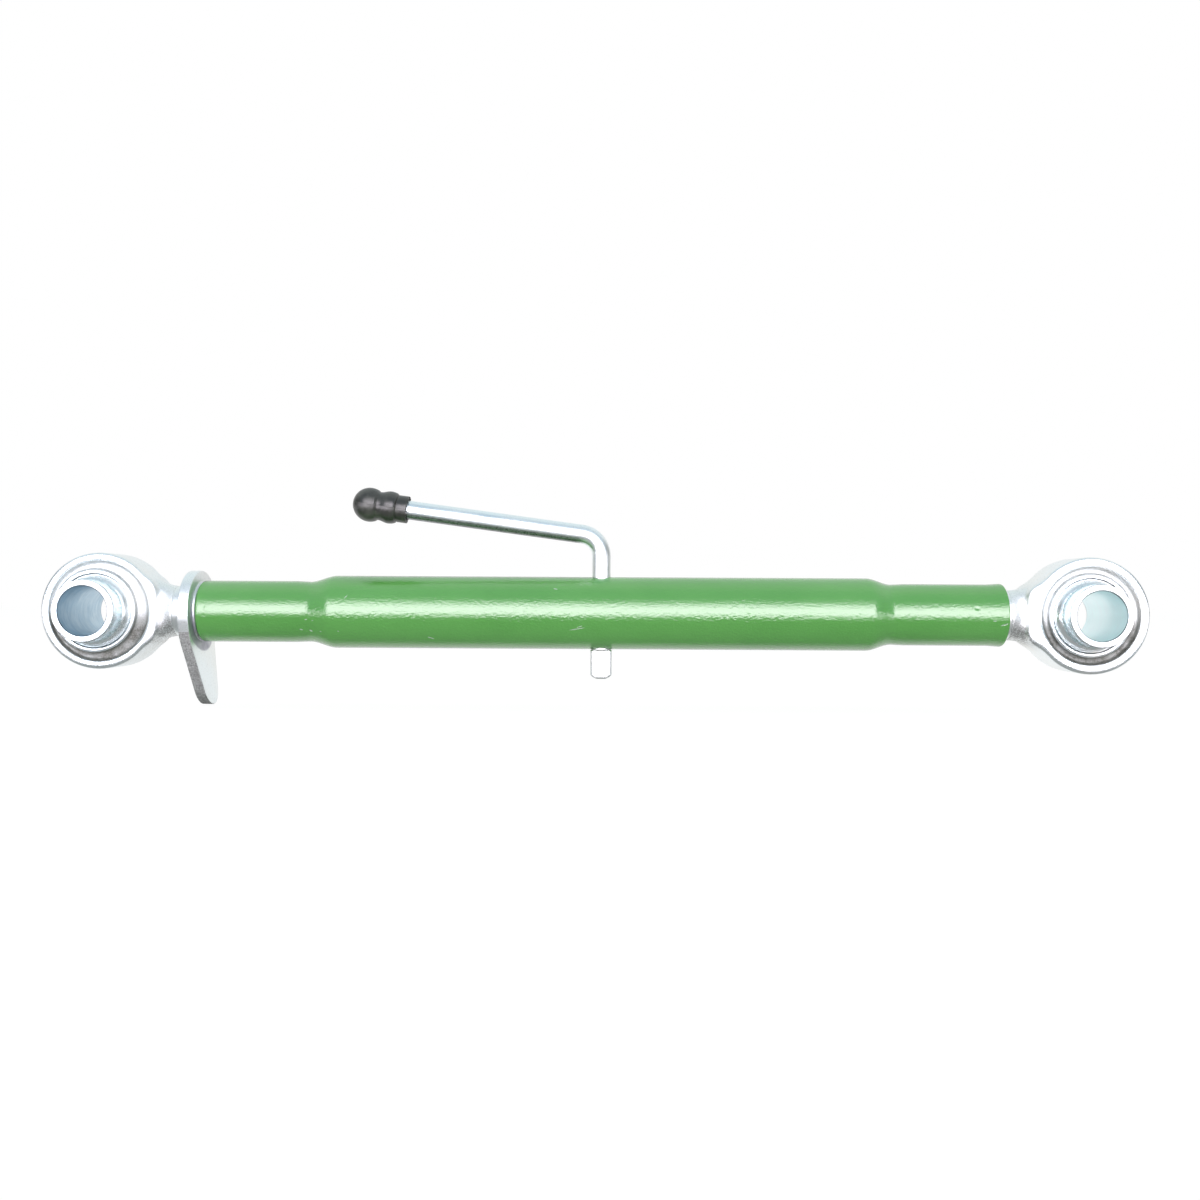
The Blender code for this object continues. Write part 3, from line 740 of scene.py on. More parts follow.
def green_finish():
    """Sprayed green enamel: orange peel, a soft ripple, and flecks knocked off in handling."""
    finish = Finish("green_barrel_enamel")
    green = finish.mix(finish.range(finish.grain(22.0, 3.0), 0.35, 0.65), GREEN_DEEP, GREEN_LIGHT)
    mark = scuffed(finish)
    finish.set(Base_Color=finish.mix(mark, green, GREEN_CHIPPED))
    finish.set(Roughness=finish.range(finish.grain(160.0, 3.0), 0.3, 0.7, 0.18, 0.26))
    finish.set(IOR=1.45, Specular_IOR_Level=0.25)
    finish.set(Coat_Weight=0.6, Coat_Roughness=0.045, Coat_IOR=2.25)
    pores = finish.grain(1.0, 2.0, 0.6, finish.placed(size=(0.0019, 0.0011, 0.0011)))
    peel = finish.bump(pores, 0.00020, 0.9)
    ripple = finish.bump(finish.grain(90.0, 1.0), 0.00020, 0.3, peel)
    dent = finish.times(finish.near(DENT_PLACE, DENT_REACH, full=0.0), 4.0)
    chipped = finish.bump(finish.plus(mark, dent), -0.00010, 0.7, ripple)
    finish.set(Normal=chipped, Coat_Normal=chipped)
    return finish.material


def handle_finish():
    """Drawn bar: bright, with painted shade along the arm's underside, dark and speckled, standing for the
    dark it mirrors there.
    """
    finish = Zinc("zinc_on_drawn_bar", dull=0.36, bright=0.26, pitted=0.00005)
    place = finish.split(finish.placed((BAR_PLACE, 0.0, ARM_HEIGHT), (0.0, ARM_SLOPE, 0.0)))
    # Painted shade: a dark speckled band under the arm
    arm = finish.step(place["X"], (-0.0070, -0.0140))
    under = finish.step(place["Z"], (-0.0018, -0.0030))
    grit = finish.range(finish.grain(1500.0, 3.0, 0.7), 0.36, 0.60, 1.0, 0.55)
    finish.colour = finish.mix(finish.times(arm, under, grit), finish.colour, ARM_UNDERSIDE_PAINTED_SHADE)
    return finish.done()


def plate_finish():
    """Blanked plate: even zinc, with a dull ring of painted shade round the boss, facing the tube,
    strongest low down.
    """
    finish = Zinc("zinc_on_plate", dull=0.42, bright=0.32, pitted=0.00005)
    x, y, z = finish.split(finish.placed((NUT_START + NUT_THICKNESS, 0.0, 0.0)))
    # Painted shade and painted dark reflection round the boss, strongest low down
    ring = finish.window(finish.length(y, z), BOSS_RADIUS + 0.0002, NUT_RADIUS - 0.0010, 0.0012)
    face = finish.range(x, -0.0012, -0.0004)
    patchy = finish.range(finish.grain(180.0, 3.0), 0.35, 0.65, 0.55, 0.9)
    low = finish.range(z, 0.0140, -0.0100, 0.30, 0.90, smooth=True)
    ring_shade = finish.times(ring, face, patchy, low)
    finish.colour = finish.mix(ring_shade, finish.colour, PLATE_RING_SHADE)
    finish.rough = finish.plus(finish.rough, finish.times(ring_shade, 0.25))
    return finish.done()


def sheared_finish():
    """The sawn and sheared rim of the lock nut: matt grey and torn, with bright grains."""
    finish = Finish("sheared_steel_rim")
    grains = finish.grain(1400.0, 4.0, 0.75)
    bands = finish.grain(1.0, 3.0, 0.6, finish.placed(size=(0.0016, 0.0004, 0.0030)))
    colour = finish.mix(finish.range(grains, 0.38, 0.62), TORN_DARK, TORN_BRIGHT)
    finish.set(Base_Color=finish.mix(finish.range(bands, 0.3, 0.7, 0.0, 0.4), colour, TORN_BAND))
    finish.set(Metallic=0.75, Roughness=finish.range(grains, 0.3, 0.7, 0.62, 0.45))
    torn = finish.bump(grains, 0.00010, 0.9)
    finish.set(Normal=finish.bump(bands, 0.00020, 0.6, torn))
    return finish.material


def rubber_finish():
    """Moulded black rubber, dusty on its high places."""
    finish = Finish("black_moulded_rubber")
    dust = finish.grain(130.0, 4.0, 0.6)
    fine = finish.grain(1100.0, 3.0, 0.65)
    colour = finish.mix(finish.range(dust, 0.42, 0.66), RUBBER_BLACK, RUBBER_DUSTY)
    spots = finish.times(finish.range(fine, 0.66, 0.72), 0.5)
    finish.set(Base_Color=finish.mix(spots, colour, RUBBER_SPOT))
    finish.set(Roughness=finish.range(dust, 0.35, 0.65, 0.28, 0.42), Specular_IOR_Level=0.85)
    soft = finish.bump(finish.grain(240.0, 3.0), 0.00030, 0.6)
    finish.set(Normal=finish.bump(fine, 0.00005, 0.7, soft))
    return finish.material


# Pieces


def ball_profile():
    """The ball from one end of its bore, over the collar, the sphere and the far collar, to the other."""
    half = BALL_HALF_WIDTH
    step = COLLAR_RADIUS + COLLAR_STEP
    latitude = math.asin(step / BALL_RADIUS)
    rest = math.pi / 2 - latitude
    foot = BALL_RADIUS * math.cos(latitude) + COLLAR_STEP / 2
    upper = rounded(
        [
            (PIN_BORE_RADIUS, 0.0, 0.0),
            (PIN_BORE_RADIUS, half, PIN_BORE_EDGE),
            (COLLAR_RADIUS, half, COLLAR_EDGE),
            (COLLAR_RADIUS, foot, COLLAR_FILLET),
            (step, foot - COLLAR_STEP / 2, 0.0),
        ]
    )
    sphere = arc((0.0, 0.0), BALL_RADIUS, rest, -rest, 40)[1:-1]
    lower = [(r, -h) for r, h in reversed(upper)]
    return upper + sphere + lower[:-1]


def make_ball(name, centre, finish):
    ball = solid(name, turned_mesh(ball_profile(), TURNED_STEPS, Matrix.Translation(centre) @ ALONG_Y))
    node = name.removesuffix("_turned")
    return finish_piece(ball, node, "zinc_plated_steel", [finish], node)


def fillet_centre(shift):
    """Where the hollow between the ring and the neck has its centre."""
    height = THREAD_RADIUS + NECK_FILLET
    return Vector((shift + math.sqrt((EYE_RADIUS + NECK_FILLET) ** 2 - height**2), height))


def neck_half_height(x, shift):
    centre = fillet_centre(shift)
    reach = min(abs(x - centre.x), NECK_FILLET)
    return centre.y - math.sqrt(NECK_FILLET**2 - reach**2)


def eye_outline(shift):
    """The ring, the two hollow flanks and the rounded tab, as seen along the pin."""
    centre = fillet_centre(shift)
    meet = math.atan2(centre.y, centre.x - shift)
    corner_x = TAB_LENGTH - TAB_CORNER
    start = Vector((TAB_LENGTH, TAB_HALF_HEIGHT))
    corner_z = neck_half_height(corner_x, shift)
    end = Vector((corner_x, corner_z))
    slope = (centre.x - corner_x) / (centre.y - end.y)
    middle = Vector((TAB_LENGTH, end.y - slope * TAB_CORNER))
    corner = curve_between(start, middle, end, 12)
    at_corner = math.atan2(corner_z - centre.y, corner_x - centre.x) + math.tau
    flank = arc(centre, NECK_FILLET, at_corner, meet + math.pi, 14)[1:-1]
    ring = arc((shift, 0.0), EYE_RADIUS, meet, math.pi, 70)
    upper = corner + flank + ring
    return upper + [(x, -z) for x, z in reversed(upper[:-1])]


def bevelled_slab(outline, half, edge):
    """The outline as a slab across Y, its two rims rounded over."""
    bm = extruded_mesh(outline, "Y", -half, half)
    rims = [e for e in bm.edges if abs(e.verts[0].co.y - e.verts[1].co.y) < half]
    bmesh.ops.recalc_face_normals(bm, faces=bm.faces)
    bmesh.ops.bevel(bm, geom=rims, offset=edge, segments=4, profile=0.5, affect="EDGES", clamp_overlap=True)
    return bm


def squarish_ring(wide, high, power, steps):
    """A closed curve round a centre: an ellipse at power 1, and the squarer the smaller the power."""
    points = []
    for i in range(steps):
        c = math.cos(math.tau * i / steps)
        s = math.sin(math.tau * i / steps)
        points.append((wide * math.copysign(abs(c) ** power, c), high * math.copysign(abs(s) ** power, s)))
    return points


def neck_solid(name, shift):
    """A loft from the squarish section behind the ring to the round end at the screw."""
    centre = fillet_centre(shift)
    start = shift + EYE_RADIUS * (centre.x - shift) / (EYE_RADIUS + NECK_FILLET)
    waist = NECK_LENGTH - WAIST_FROM_WELD
    thick = EYE_HALF_THICKNESS - NECK_BELOW_FACE
    at_weld = THREAD_RADIUS - NECK_WELD_EDGE
    bm = bmesh.new()
    rings = []
    for i in range(-1, 33):
        along = max(i, 0) / 32
        x = start / 2 if i < 0 else start + (NECK_LENGTH - start) * along
        height = neck_half_height(max(x, start), shift) - NECK_BELOW_FLANK
        if x < waist:
            width = thick + (WAIST_HALF_THICKNESS - thick) * smooth_step((x - start) / (waist - start))
        else:
            rise = smooth_step((x - waist) / (NECK_LENGTH - waist))
            width = WAIST_HALF_THICKNESS + (at_weld - WAIST_HALF_THICKNESS) * rise
        power = 2.0 / (4.0 - 2.0 * smooth_step(along))
        rings.append([bm.verts.new((x, y, z)) for y, z in squarish_ring(width, height, power, ROD_STEPS)])
    bridge(bm, rings, closed=False)
    bm.faces.new(rings[0])
    bm.faces.new(rings[-1])
    return solid(name, bm)


def socket_cutter():
    """The ball's spherical seat, and its mouth on both faces."""
    mouth = math.acos(MOUTH_RADIUS / SOCKET_RADIUS)
    out = EYE_HALF_THICKNESS * 2
    sphere = arc((0.0, 0.0), SOCKET_RADIUS, mouth, -mouth, 30)
    profile = [(0.0, out), (MOUTH_RADIUS, out)] + sphere + [(MOUTH_RADIUS, -out), (0.0, -out)]
    return solid("socket_cutter", turned_mesh(profile, TURNED_STEPS, ALONG_Y))


def groove_cutter(width, shift, side):
    """The groove round the rolled lip, its outer wall as far off centre as the eye's ring is."""
    face = EYE_HALF_THICKNESS
    lip = MOUTH_RADIUS + LIP_WIDTH
    floor = face - GROOVE_DEPTH
    outer = lip + width
    top = face - LIP_DROP
    out = face + GROOVE_DEPTH
    section = rounded(
        [
            (MOUTH_RADIUS - LIP_WIDTH, out, 0.0),
            (outer + GROOVE_WALL_LEAN, out, 0.0),
            (outer, face, 0.0),
            (outer - GROOVE_WALL_LEAN, floor, GROOVE_OUTER_FILLET),
            (lip + GROOVE_LIP_LEAN, floor, GROOVE_INNER_FILLET),
            (lip, top, LIP_EDGE),
            (MOUTH_RADIUS - LIP_WIDTH, top, 0.0),
        ]
    )
    bm = bmesh.new()
    rings = []
    for radius, height in section:
        off = shift * smooth_step((radius - lip) / width)
        ring = []
        for i in range(TURNED_STEPS):
            a = math.tau * i / TURNED_STEPS
            ring.append(bm.verts.new((off + radius * math.cos(a), side * height, radius * math.sin(a))))
        rings.append(ring)
    bridge(bm, rings, closed=True)
    return solid("groove_cutter", bm)


def neck_weight(place):
    """1 over the tab and the neck's flanks, 0 on the ring and at the weld."""
    rise = smooth_step((place.x - NECK_EASE_START) / NECK_EASE_RUN)
    return rise * smooth_step((NECK_LENGTH - NECK_EASE_END - place.x) / NECK_EASE_END_RUN)


def make_eye(name, turn, place, groove_width, shift, finish):
    """The forged eye, melted into one skin, then turned to its end of the link."""
    eye = solid(name, bevelled_slab(eye_outline(shift), EYE_HALF_THICKNESS, EYE_EDGE))
    eye = cut(eye, [neck_solid("neck", shift)], "UNION")
    grooves = [groove_cutter(groove_width, shift, side) for side in (-1, 1)]
    eye = cut(eye, [socket_cutter(), *grooves])
    eye = forged(eye, FORGING_GRAIN, FORGING_SOFTENING)
    eye = eased(eye, neck_weight, NECK_SOFTENING)
    eye.data.transform(Matrix.Translation(place) @ Matrix.Rotation(turn, 4, "Z"))
    node = name.removesuffix("_forging")
    return finish_piece(eye, node.replace("_eye", "_end"), "zinc_plated_steel", [finish], node)


def thread_inputs(group):
    """The tree's named inputs, and the identifier that sets each one."""
    sockets = {}
    for label in ("Start", "Length", "Crest Radius", "Depth", "Pitch", "Hand"):
        given = group.interface.new_socket(label, in_out="INPUT", socket_type="NodeSocketFloat")
        sockets[label] = given.identifier
    given = group.interface.new_socket("Finish", in_out="INPUT", socket_type="NodeSocketMaterial")
    sockets["Finish"] = given.identifier
    group.interface.new_socket("Geometry", in_out="OUTPUT", socket_type="NodeSocketGeometry")
    return sockets


def thread_ridge(nodes, given):
    """A trapezoid with a flat crest, swept along a helix at the thread's pitch line."""
    half_depth = nodes.times(given["Depth"], 0.5)
    pitch_line = nodes.math("SUBTRACT", given["Crest Radius"], half_depth)
    helix = nodes.add("GeometryNodeCurveSpiral")
    nodes.put(helix.inputs["Resolution"], 48)
    nodes.put(helix.inputs["Rotations"], nodes.math("DIVIDE", given["Length"], given["Pitch"]))
    nodes.put(helix.inputs["Start Radius"], pitch_line)
    nodes.put(helix.inputs["End Radius"], pitch_line)
    nodes.put(helix.inputs["Height"], given["Length"])
    upright = nodes.add("GeometryNodeSetCurveNormal")
    upright.mode = "Z_UP"
    nodes.put(upright.inputs["Curve"], helix.outputs[0])

    ridge = nodes.add("GeometryNodeCurvePrimitiveQuadrilateral")
    ridge.mode = "TRAPEZOID"
    nodes.put(ridge.inputs["Bottom Width"], nodes.times(given["Pitch"], THREAD_FOOT_SHARE))
    nodes.put(ridge.inputs["Top Width"], nodes.times(given["Pitch"], THREAD_CREST_SHARE))
    nodes.put(ridge.inputs["Offset"], 0.0)
    nodes.put(ridge.inputs["Height"], nodes.times(given["Depth"], THREAD_SUNK_SHARE))
    stand = nodes.add("GeometryNodeTransform")
    nodes.put(stand.inputs["Rotation"], (0.0, 0.0, math.pi / 2))
    nodes.put(stand.inputs["Geometry"], ridge.outputs[0])
    sweep = nodes.add("GeometryNodeCurveToMesh")
    nodes.put(sweep.inputs["Fill Caps"], True)
    nodes.put(sweep.inputs["Curve"], upright.outputs[0])
    nodes.put(sweep.inputs["Profile Curve"], stand.outputs[0])
    return sweep.outputs[0]


def thread_core(nodes, given):
    """The rod under the ridge, standing on the helix's start."""
    core = nodes.add("GeometryNodeMeshCylinder")
    nodes.put(core.inputs["Vertices"], ROD_STEPS)
    nodes.put(core.inputs["Side Segments"], 60)
    nodes.put(core.inputs["Radius"], nodes.math("SUBTRACT", given["Crest Radius"], given["Depth"]))
    nodes.put(core.inputs["Depth"], given["Length"])
    raised = nodes.add("GeometryNodeTransform")
    lift = nodes.joined(0.0, 0.0, nodes.times(given["Length"], 0.5))
    nodes.put(raised.inputs["Translation"], lift)
    nodes.put(raised.inputs["Geometry"], core.outputs["Mesh"])
    return raised.outputs[0]


def thread_group():
    """A threaded rod along X: a core and a helical ridge, right or left handed."""
    group = bpy.data.node_groups.new("rolled_thread", "GeometryNodeTree")
    sockets = thread_inputs(group)
    nodes = Nodes(group)
    given = nodes.add("NodeGroupInput").outputs
    both = nodes.add("GeometryNodeJoinGeometry")
    nodes.put(both.inputs[0], thread_ridge(nodes, given))
    nodes.put(both.inputs[0], thread_core(nodes, given))
    handed = nodes.add("GeometryNodeTransform")
    nodes.put(handed.inputs["Scale"], nodes.joined(1.0, given["Hand"], 1.0))
    nodes.put(handed.inputs["Geometry"], both.outputs[0])
    laid = nodes.add("GeometryNodeTransform")
    nodes.put(laid.inputs["Rotation"], (0.0, math.pi / 2, 0.0))
    nodes.put(laid.inputs["Translation"], nodes.joined(given["Start"], 0.0))
    nodes.put(laid.inputs["Geometry"], handed.outputs[0])
    real = nodes.add("GeometryNodeRealizeInstances")
    nodes.put(real.inputs[0], laid.outputs[0])
    finished = nodes.add("GeometryNodeSetMaterial")
    nodes.put(finished.inputs["Geometry"], real.outputs[0])
    nodes.put(finished.inputs["Material"], given["Finish"])
    nodes.put(nodes.add("NodeGroupOutput").inputs[0], finished.outputs[0])
    return group, sockets


def threaded_length(name, low, length, hand, finish, thread):
    """The thread's tree run once for a rod, and turned into a plain mesh."""
    group, sockets = thread
    holder = bpy.data.objects.new(name, bpy.data.meshes.new(name))
    bpy.context.scene.collection.objects.link(holder)
    modifier = holder.modifiers.new("thread", "NODES")
    modifier.node_group = group
    values = {
        "Start": low,
        "Length": length,
        "Crest Radius": THREAD_RADIUS,
        "Depth": THREAD_DEPTH,
        "Pitch": THREAD_PITCH,
        "Hand": hand,
        "Finish": finish,
    }
    for label, value in values.items():
        modifier[sockets[label]] = value
    return settled(holder, 30.0)


def rod_profile(face, far_end, toward):
    """The rod without its thread: sunk into the neck, the weld bead, the shank and the thread's core."""
    core = THREAD_RADIUS - THREAD_DEPTH
    root = face - toward * ROD_SUNK
    shank_end = face + toward * PLAIN_SHANK
    profile = [(0.0, root), (THREAD_RADIUS - ROD_SUNK, root)]
    for i in range(9):
        swell = THREAD_RADIUS + WELD_HEIGHT * math.sin(math.pi * i / 8)
        if i == 0:
            swell -= SMALL_STEP
        profile.append((swell, root + toward * WELD_WIDTH * i / 8))
    profile.append((THREAD_RADIUS, shank_end - toward * SHANK_TAPER))
    profile.append((core, shank_end + toward * SMALL_STEP))
    profile.append((core, far_end - toward * ROD_END_CHAMFER))
    profile.append((core - ROD_END_CHAMFER, far_end))
    profile.append((0.0, far_end))
    return profile


def make_screw(name, node, face, far_end, hand, finish, thread):
    """A rod from the weld at the eye: a plain shank, then the rolled thread to its chamfered end."""
    toward = math.copysign(1.0, far_end - face)
    start = face + toward * PLAIN_SHANK
    tip = far_end - toward * THREAD_STOPS_SHORT
    ridge = threaded_length(name + "_thread", min(start, tip), abs(tip - start), hand, finish, thread)
    bm = turned_mesh(rod_profile(face, far_end, toward), ROD_STEPS, ALONG_X)
    bm.from_mesh(ridge.data)
    bpy.data.objects.remove(ridge)
    screw = solid(name, bm, 30.0)
    return finish_piece(screw, node.replace("_screw", "_end"), "zinc_plated_steel", [finish], node)


def tube_wall(radius_end, radius_main, neck_depth, steps):
    """One wall of the tube as (radius, x) points from the tractor end to the implement end."""
    tractor_neck = TUBE_START + TRACTOR_END_LENGTH
    implement_neck = TUBE_END - IMPLEMENT_END_LENGTH
    start = tractor_neck + TRACTOR_SWAGE_LENGTH
    end = implement_neck - IMPLEMENT_SWAGE_LENGTH
    low = radius_end - neck_depth
    rise = [low + (radius_main - low) * smooth_step(i / steps) for i in range(steps + 1)]
    points = [(radius_end, tractor_neck - TRACTOR_SWAGE_LENGTH / 2)]
    for i, radius in enumerate(rise):
        points.append((radius, tractor_neck + TRACTOR_SWAGE_LENGTH * i / steps))
    for i in range(1, 60):
        points.append((radius_main, start + (end - start) * i / 60))
    for i, radius in enumerate(reversed(rise)):
        points.append((radius, end + IMPLEMENT_SWAGE_LENGTH * i / steps))
    points.append((radius_end, implement_neck + IMPLEMENT_SWAGE_LENGTH / 2))
    return points


def tube_profile():
    """Both walls, joined by a rounded end at the tractor's side and a flared one at the implement's."""
    outer = tube_wall(END_RADIUS, TUBE_RADIUS, SWAGE_NECK_DEPTH, 28)
    inner = tube_wall(BORE_RADIUS, TUBE_RADIUS - TUBE_WALL, 0.0, 8)
    tractor_end = rounded(
        [
            (BORE_RADIUS, TUBE_START, 0.0),
            (END_RADIUS, TUBE_START, TRACTOR_END_EDGE),
            (*outer[0], 0.0),
        ]
    )
    lip = END_RADIUS + FLARE
    implement_end = rounded(
        [
            (END_RADIUS, TUBE_END - FLARE_LENGTH, 0.0),
            (lip, TUBE_END - FLARE_LIP, FLARE_CURVE),
            (lip, TUBE_END, IMPLEMENT_END_EDGE),
            (BORE_RADIUS, TUBE_END, 0.0),
        ]
    )
    return tractor_end[:-1] + outer + implement_end + list(reversed(inner))


def make_tube(finish):
    tube = solid("green_barrel", turned_mesh(tube_profile(), TURNED_STEPS, ALONG_X))
    reach = TUBE_RADIUS * 2
    hole = [(0.0, reach), (BAR_HOLE_RADIUS, reach), (BAR_HOLE_RADIUS, -reach), (0.0, -reach)]
    cutter = solid("hole_cutter", turned_mesh(hole, BAR_STEPS, Matrix.Translation((BAR_PLACE, 0.0, 0.0))))
    tube = cut(tube, [cutter])
    return finish_piece(tube, "tube", "green_paint", [finish], "barrel_tube")


def nut_blank():
    """The plate as it is blanked: a disc and its tongue, as seen along the screw."""
    lean = math.asin((NUT_RADIUS - TONGUE_TIP_RADIUS) / TONGUE_REACH)
    disc = arc((0.0, 0.0), NUT_RADIUS, -lean, math.pi + lean, 110)
    tip = arc((0.0, -TONGUE_REACH), TONGUE_TIP_RADIUS, math.pi + lean, math.tau - lean, 48)
    down = [tuple(Vector(disc[-1]).lerp(Vector(tip[0]), i / 12)) for i in range(1, 12)]
    up = [tuple(Vector(tip[-1]).lerp(Vector(disc[0]), i / 12)) for i in range(1, 12)]
    outline = disc + down + tip + up
    low = NUT_START - NUT_CUTTERS_REACH
    return solid("nut_blank", extruded_mesh(outline, "X", low, NUT_START + NUT_BLANK_REACH))


def nut_side():
    """The plate's thickness, upright and then bent over to the tongue's lean, as seen along the pins."""
    top = NUT_SIDE_REACH
    face = NUT_START + NUT_THICKNESS
    centre = (face + TONGUE_BEND_RADIUS, -TONGUE_BEND_START)
    bent = math.pi + TONGUE_LEAN
    near = arc(centre, TONGUE_BEND_RADIUS, math.pi, bent, 16)
    far = arc(centre, TONGUE_BEND_RADIUS + NUT_THICKNESS, bent, math.pi, 16)
    run = Vector((math.sin(TONGUE_LEAN), -math.cos(TONGUE_LEAN))) * (TONGUE_REACH + TONGUE_TIP_RADIUS)
    near_end = (near[-1][0] + run.x, near[-1][1] + run.y)
    far_end = (far[0][0] + run.x, far[0][1] + run.y)
    side = [(NUT_START, top), (face, top)] + near + [near_end, far_end] + far
    return solid("lever_lock_nut", extruded_mesh(side, "Y", -top, top))


def tear_rim(nut):
    """Gives the rim below the screw, and the tongue's, the second finish."""
    tilt = Vector((math.cos(TONGUE_LEAN), 0.0, math.sin(TONGUE_LEAN)))
    for face in nut.data.polygons:
        out = face.center.yz.length
        flat = abs(face.normal.x) if face.center.z > -TONGUE_BEND_START else abs(face.normal.dot(tilt))
        if flat < 0.5 and out > TORN_OUTSIDE and face.center.z < -TORN_BELOW:
            face.material_index = 1


def make_nut(face_finish, rim_finish):
    """The blanked and bent plate with its boss, which meets the tube, and its rim left matt."""
    nut = cut(nut_side(), [nut_blank()], "INTERSECT")
    start = NUT_START + NUT_THICKNESS / 2
    end = NUT_START + NUT_THICKNESS + BOSS_HEIGHT
    corners = [(0.0, end, 0.0), (BOSS_RADIUS, end, BOSS_EDGE), (BOSS_RADIUS, start, 0.0), (0.0, start, 0.0)]
    nut = cut(nut, [solid("boss", turned_mesh(rounded(corners), 120, ALONG_X))], "UNION")
    low = NUT_START - NUT_CUTTERS_REACH
    high = end + NUT_CUTTERS_REACH
    bore = [(0.0, high), (BORE_RADIUS, high), (BORE_RADIUS, low), (0.0, low)]
    nut = cut(nut, [solid("bore", turned_mesh(bore, ROD_STEPS, ALONG_X))])
    nut = forged(nut, NUT_GRAIN, NUT_SOFTENING)
    nut = finish_piece(nut, "lock_nut", "zinc_plated_steel", [face_finish, rim_finish], "lock_nut")
    tear_rim(nut)


def bar_path():
    """The bar's centre line from the pressed foot up the leg, round the bend and out along the arm."""
    turn = math.pi / 2 - ARM_SLOPE
    tangent = BAR_BEND_RADIUS * math.tan(turn / 2)
    bend = arc((-BAR_BEND_RADIUS, ARM_HEIGHT - tangent), BAR_BEND_RADIUS, 0.0, turn, 30)
    above = FINE_PATH_ABOVE - TUBE_RADIUS
    leg = [(0.0, BAR_FOOT + (above - BAR_FOOT) * i / 60) for i in range(60)]
    leg += [(0.0, above + (bend[0][1] - above) * i / 40) for i in range(40)]
    end = Vector((-ARM_LENGTH * math.cos(ARM_SLOPE), ARM_HEIGHT + ARM_LENGTH * math.sin(ARM_SLOPE)))
    arm = [tuple(Vector(bend[-1]).lerp(end, i / 20)) for i in range(1, 21)]
    return leg + bend + arm


def make_bar(finish):
    """The bar, round along its path and pressed flat and squarish at its foot."""
    path = [Vector((x, 0.0, z)) for x, z in bar_path()]
    bm = bmesh.new()
    rings = []
    for i, point in enumerate(path):
        ahead = (path[min(i + 1, len(path) - 1)] - path[max(i - 1, 0)]).normalized()
        out = Vector((ahead.z, 0.0, -ahead.x))
        from_end = min((point - path[0]).length, (point - path[-1]).length)
        radius = BAR_RADIUS - max(BAR_CHAMFER - from_end, 0.0) * BAR_CHAMFER_SLOPE
        pressed = smooth_step((-TUBE_RADIUS - point.z) / PRESSED_RUN)
        wide = radius * (1.0 + (PRESSED_HALF_WIDTH / BAR_RADIUS - 1.0) * pressed)
        wide -= max(PRESSED_CORNER - from_end, 0.0) * pressed
        thick = radius + (PRESSED_HALF_THICKNESS - BAR_RADIUS) * pressed
        section = squarish_ring(wide, thick, 1.0 - PRESSED_SQUARENESS * pressed, BAR_STEPS)
        rings.append([bm.verts.new(point + out * x + Vector((0.0, y, 0.0))) for x, y in section])
    bridge(bm, rings, closed=False)
    bm.faces.new(rings[0])
    bm.faces.new(rings[-1])
    bmesh.ops.translate(bm, verts=bm.verts, vec=(BAR_PLACE, 0.0, 0.0))
    bar = solid("turning_bar", bm, 25.0)
    return finish_piece(bar, "handle", "zinc_plated_steel", [finish], "handle_bar")


def grip_profile():
    """The grip from its rounded end down to the sleeve's mouth, and back up its blind bore."""
    sleeve = GRIP_MOUTH + GRIP_SLEEVE_LENGTH
    bulb = sleeve + GRIP_BULB_HALF
    waist = GRIP_END - GRIP_WAIST_FROM_END
    points = arc((0.0, GRIP_END - GRIP_END_RADIUS), GRIP_END_RADIUS, math.pi / 2, -math.pi / 9, 30)
    points[0] = (0.0, GRIP_END)
    stops = [points[-1], (GRIP_WAIST_RADIUS, waist), (GRIP_BULB_RADIUS, bulb)]
    for near, far in zip(stops, stops[1:]):
        for i in range(1, 15):
            t = i / 14
            points.append((near[0] + (far[0] - near[0]) * smooth_step(t), near[1] + (far[1] - near[1]) * t))
    shoulder = GRIP_SLEEVE_RADIUS - SMALL_STEP
    rise = GRIP_BULB_RADIUS - shoulder
    fall = GRIP_BULB_HALF - GRIP_STEP
    turns = [math.pi / 2 * i / 14 for i in range(1, 15)]
    points += [(shoulder + rise * math.cos(a), bulb - fall * math.sin(a)) for a in turns]
    bore = BAR_RADIUS + GRIP_GAP
    bore_end = ARM_LENGTH + GRIP_GAP
    points += rounded(
        [
            (GRIP_SLEEVE_RADIUS, sleeve - GRIP_STEP, 0.0),
            (GRIP_SLEEVE_RADIUS, GRIP_MOUTH, GRIP_MOUTH_EDGE),
            (bore + GRIP_STEP, GRIP_MOUTH, GRIP_BORE_EDGE),
            (bore, GRIP_MOUTH + GRIP_MOUTH_CHAMFER, 0.0),
            (bore, bore_end, 0.0),
            (0.0, bore_end, 0.0),
        ]
    )
    return points


def moulded(angle, radius, height):
    """A parting line front and back of the grip, and a torn edge at its mouth."""
    torn = smooth_step((GRIP_MOUTH + GRIP_TEAR - height) / GRIP_TEAR)
    wave = noise.noise(Vector((math.cos(angle), math.sin(angle), 0.0)) * 4.0)
    fringe = noise.noise(Vector((math.cos(angle), math.sin(angle), 3.0)) * 11.0)
    tear = GRIP_TEAR_WAVE * wave + GRIP_TEAR_FRINGE * fringe + GRIP_TEAR_LIFT
    if height <= GRIP_MOUTH + GRIP_SEAM_START or radius <= BAR_RADIUS + GRIP_SEAM_OUTSIDE:
        return radius, height + torn * tear
    seam = GRIP_SEAM * math.exp(-((math.cos(angle) / GRIP_SEAM_HALF_ANGLE) ** 2))
    return radius + seam, height + torn * tear


def make_grip(finish):
    lean = Matrix.Rotation(-(math.pi / 2 - ARM_SLOPE), 4, "Y")
    along_arm = Matrix.Translation((BAR_PLACE, 0.0, ARM_HEIGHT)) @ lean
    grip = solid("rubber_grip", turned_mesh(grip_profile(), GRIP_STEPS, along_arm, moulded))
    return finish_piece(grip, "handle", "black_rubber", [finish], "handle_grip")


# Studio


